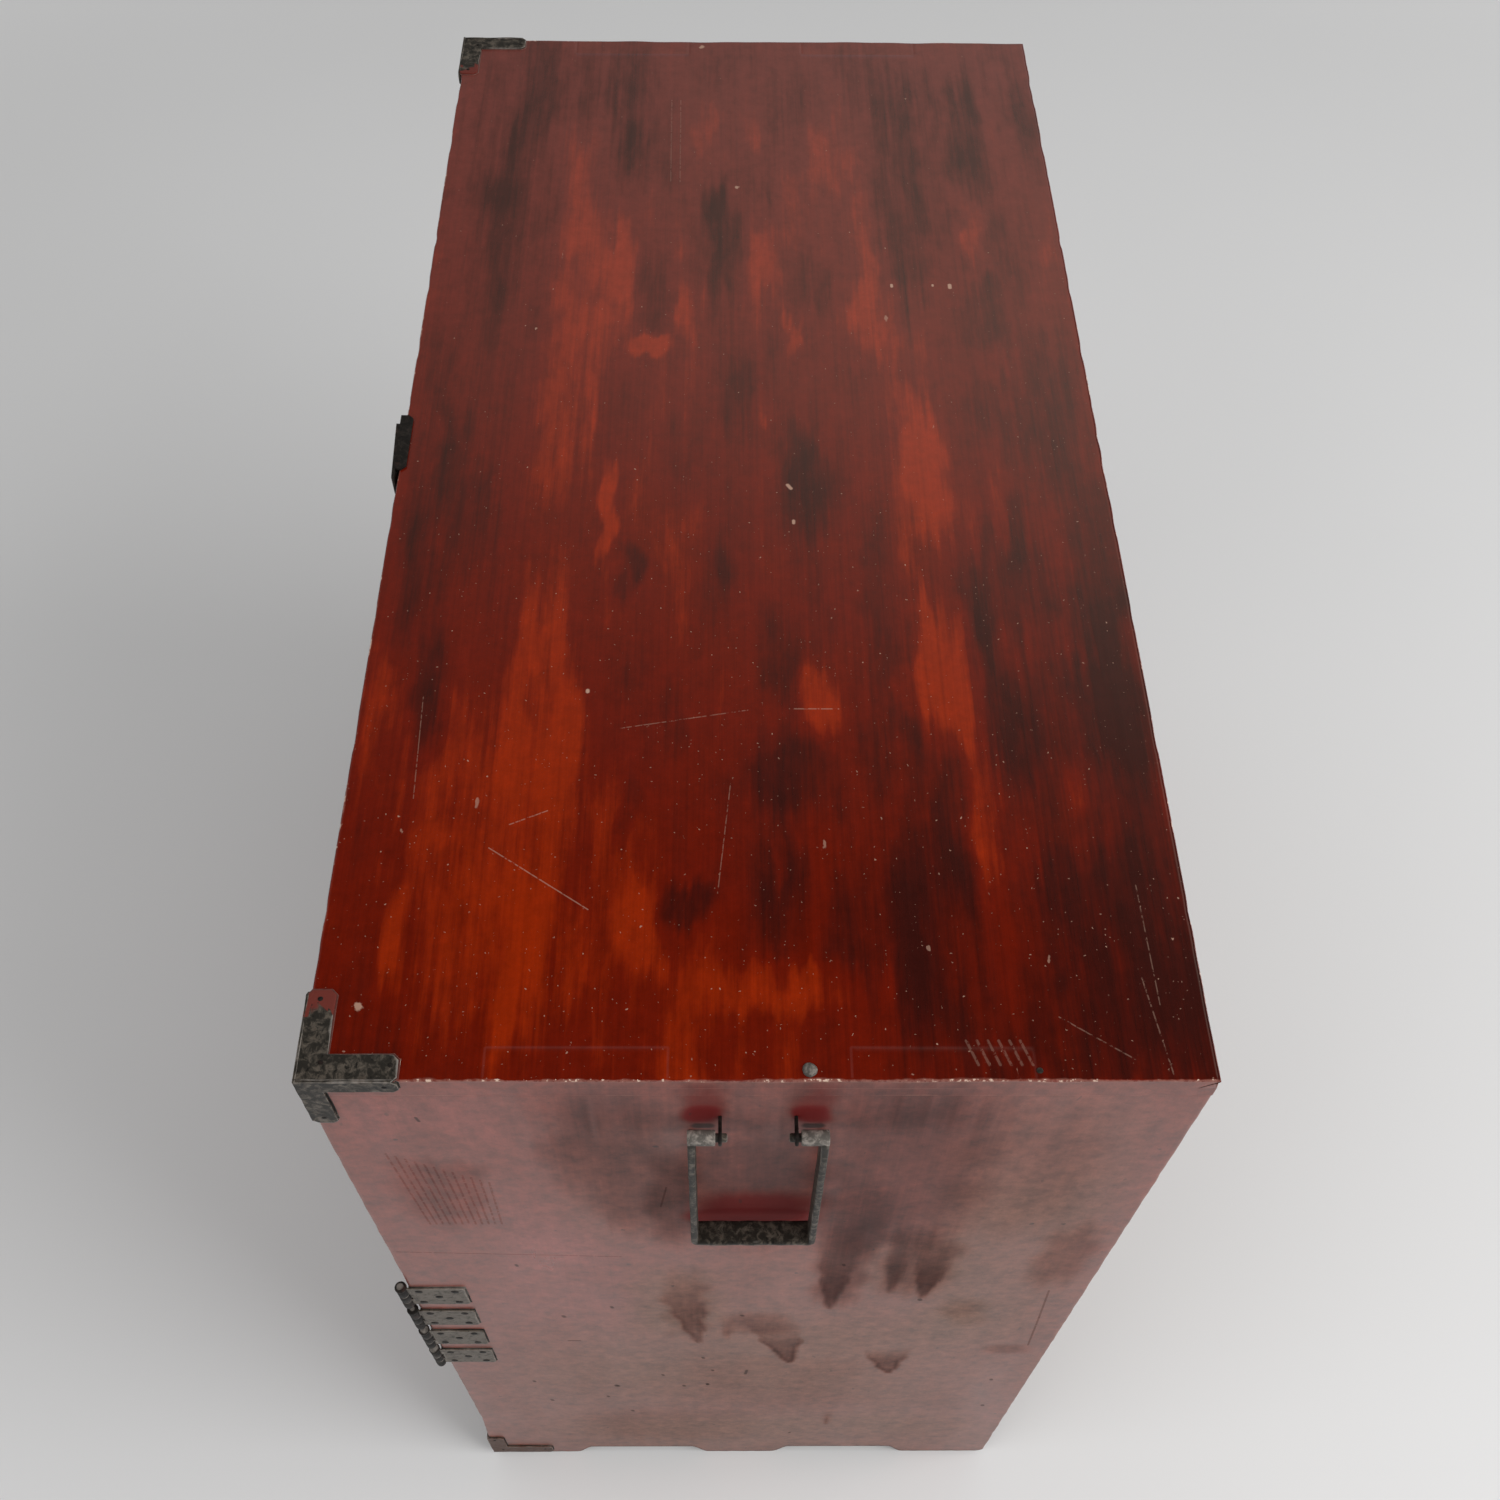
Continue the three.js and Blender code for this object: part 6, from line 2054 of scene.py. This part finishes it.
@dataclass(frozen=True)
class Stage:
    """The floor, the studio light and the camera."""

    floor_size: float = 14.0
    floor_colour: Colour = (0.74, 0.74, 0.74)
    haze: tuple[float, float] = (1.9, 4.2)
    haze_level: float = 0.76
    even: float = 0.43
    camera_at: Place = (769.99, -20.42, 1567.04)
    pitch: float = 0.973929
    yaw: float = -0.014507
    roll: float = 0.01336
    lens: float = 37.807
    shift: tuple[float, float] = (0.0122, 0.0259)

    def build(self) -> None:
        """Builds all three."""
        self.floor()
        self.world()
        self.lamp("Key", (1.1, 2.8, 2.6), 2.8, 113)
        self.lamp("Fill", (1.6, -2.4, 2.6), 2.4, 32)
        self.camera()
        bpy.context.scene.view_settings.view_transform = "Standard"

    def seen_rays(self, graph: Graph) -> NodeSocket:
        """1 for rays from the eye, from gloss and through glass, and 0 for those that only give light."""
        rays = graph.node("LightPath").outputs
        seen = graph.plus(rays["Is Camera Ray"], rays["Is Glossy Ray"])
        return graph.plus(seen, rays["Is Transmission Ray"], clamp=True)

    def floor(self) -> None:
        """A wide pale floor, which glows evenly far out so that low views end in a pale room."""
        made, graph, shader = started("Floor")
        half = self.floor_size / 2
        mesh = bpy.data.meshes.new("floor")
        corners = [(x, y, 0) for x, y in rectangle((-half, half), (-half, half))]
        mesh.from_pydata(corners, [], [(0, 1, 2, 3)])
        mesh.materials.append(made)
        place = graph.place()
        cloud = graph.noise(place, 2.2, 3, 0.5)
        tint = graph.mix(cloud, self.floor_colour, tuple(c * 0.97 for c in self.floor_colour))
        graph.feed(shader.inputs["Base Color"], tint)
        graph.feed(shader.inputs["Roughness"], 0.85)
        far = graph.step(*self.haze, graph.vector("LENGTH", place, number=True))
        glow = graph.node("Emission", {"Color": (1, 1, 1, 1), "Strength": self.haze_level})
        share = graph.times(far, self.seen_rays(graph))
        mixed = graph.node("MixShader", {0: share, 1: shader.outputs[0], 2: glow.outputs[0]})
        graph.feed(made.node_tree.nodes["Material Output"].inputs[0], mixed.outputs[0])
        plane = bpy.data.objects.new("floor", mesh)
        bpy.context.scene.collection.objects.link(plane)

    def world(self) -> None:
        """Even light for surfaces, and a room for eye and gloss: pale, brighter behind, dark overhead."""
        world = bpy.data.worlds.new("Studio")
        world.use_nodes = True
        bpy.context.scene.world = world
        world.node_tree.nodes.clear()
        graph = Graph(world.node_tree)
        way = graph.node("TexCoord").outputs["Generated"]
        walls = graph.step(0.6, 0.88, graph.axis(way, 2), (0.76, 0.02))
        leaning = graph.step(-0.35, 0.35, graph.axis(way, 1), (0.42, 1.5))
        leaning = graph.times(leaning, graph.step(0.5, 0.68, graph.axis(way, 2), (0.5, 1.0)))
        gloss = graph.node("LightPath").outputs["Is Glossy Ray"]
        lean = graph.scaled(gloss, graph.minus(leaning, 1.0), 1.0)
        overhead = graph.times(gloss, graph.step(0.36, 0.52, graph.axis(way, 2)))
        tint = graph.mix(overhead, (1, 1, 1), (1, 0.93, 0.78))
        even = graph.node("Background", {"Color": (1, 1, 1, 1), "Strength": self.even})
        shown = graph.node("Background", {"Color": tint, "Strength": graph.times(walls, lean)})
        mixed = graph.node("MixShader", {0: self.seen_rays(graph), 1: even.outputs[0], 2: shown.outputs[0]})
        graph.feed(graph.node("OutputWorld").inputs[0], mixed.outputs[0])

    def lamp(self, name: str, at: Place, size: float, power: float) -> None:
        """A square soft lamp that looks at the chest."""
        data = bpy.data.lights.new(name, "AREA")
        data.shape, data.size, data.energy = "SQUARE", size, power
        lamp = bpy.data.objects.new(name, data)
        lamp.location = at
        aim = Vector((0, 0, 0.45)) - Vector(at)
        lamp.rotation_mode = "QUATERNION"
        lamp.rotation_quaternion = aim.to_track_quat("-Z", "Y")
        lamp.visible_glossy = False
        bpy.context.scene.collection.objects.link(lamp)

    def camera(self) -> None:
        """The camera at the photograph's place, from its position and three angles."""
        data = bpy.data.cameras.new("Camera")
        data.lens, data.sensor_width = self.lens, 36
        data.shift_x, data.shift_y = self.shift
        data.clip_start, data.clip_end = 0.05, 60
        run = -math.cos(self.pitch)
        ahead = np.array([run * math.cos(self.yaw), run * math.sin(self.yaw), -math.sin(self.pitch)])
        level = np.cross(ahead, (0, 0, 1))
        level /= np.linalg.norm(level)
        over = np.cross(level, ahead)
        right = math.cos(self.roll) * level + math.sin(self.roll) * over
        up = -math.sin(self.roll) * level + math.cos(self.roll) * over
        turned = Matrix([(*row,) for row in np.stack([right, up, -ahead], 1)]).to_4x4()
        camera = bpy.data.objects.new("Camera", data)
        camera.matrix_world = Matrix.Translation(Vector(CASE.metres(self.camera_at))) @ turned
        bpy.context.scene.collection.objects.link(camera)
        bpy.context.scene.camera = camera


def main() -> None:
    """Builds the finishes, every piece of the chest, and the stage, in that order."""
    logging.basicConfig(level=logging.INFO, format="%(message)s")
    finishes = Finishes.build(Effects.build())
    ends = (finishes.side, finishes.case[Grain.UPRIGHT])
    pieces = (
        TopBoard((finishes.top, finishes.side, finishes.case[Grain.ACROSS])),
        SideBoard(Side.RIGHT, ends, SIDE_PATCHES + SIDE_DRIPS, SIDE_GRIME_AND_SHADE),
        SideBoard(Side.LEFT, ends, LEFT_PATCHES, LEFT_GRIME_AND_SHADE),
        FlatBoards(finishes.front, finishes.bare, finishes.case),
        CornerIrons(finishes.iron, finishes.rusted, finishes.nail, finishes.lip),
        Hinges(finishes.leaf, finishes.nail),
        Handles(finishes.iron, finishes.nail),
        Studs(finishes),
    )
    for piece in pieces:
        log.info("building %s", type(piece).__name__)
        piece.build()
    finishes.dress()
    Stage().build()


if __name__ == "__main__":
    main()
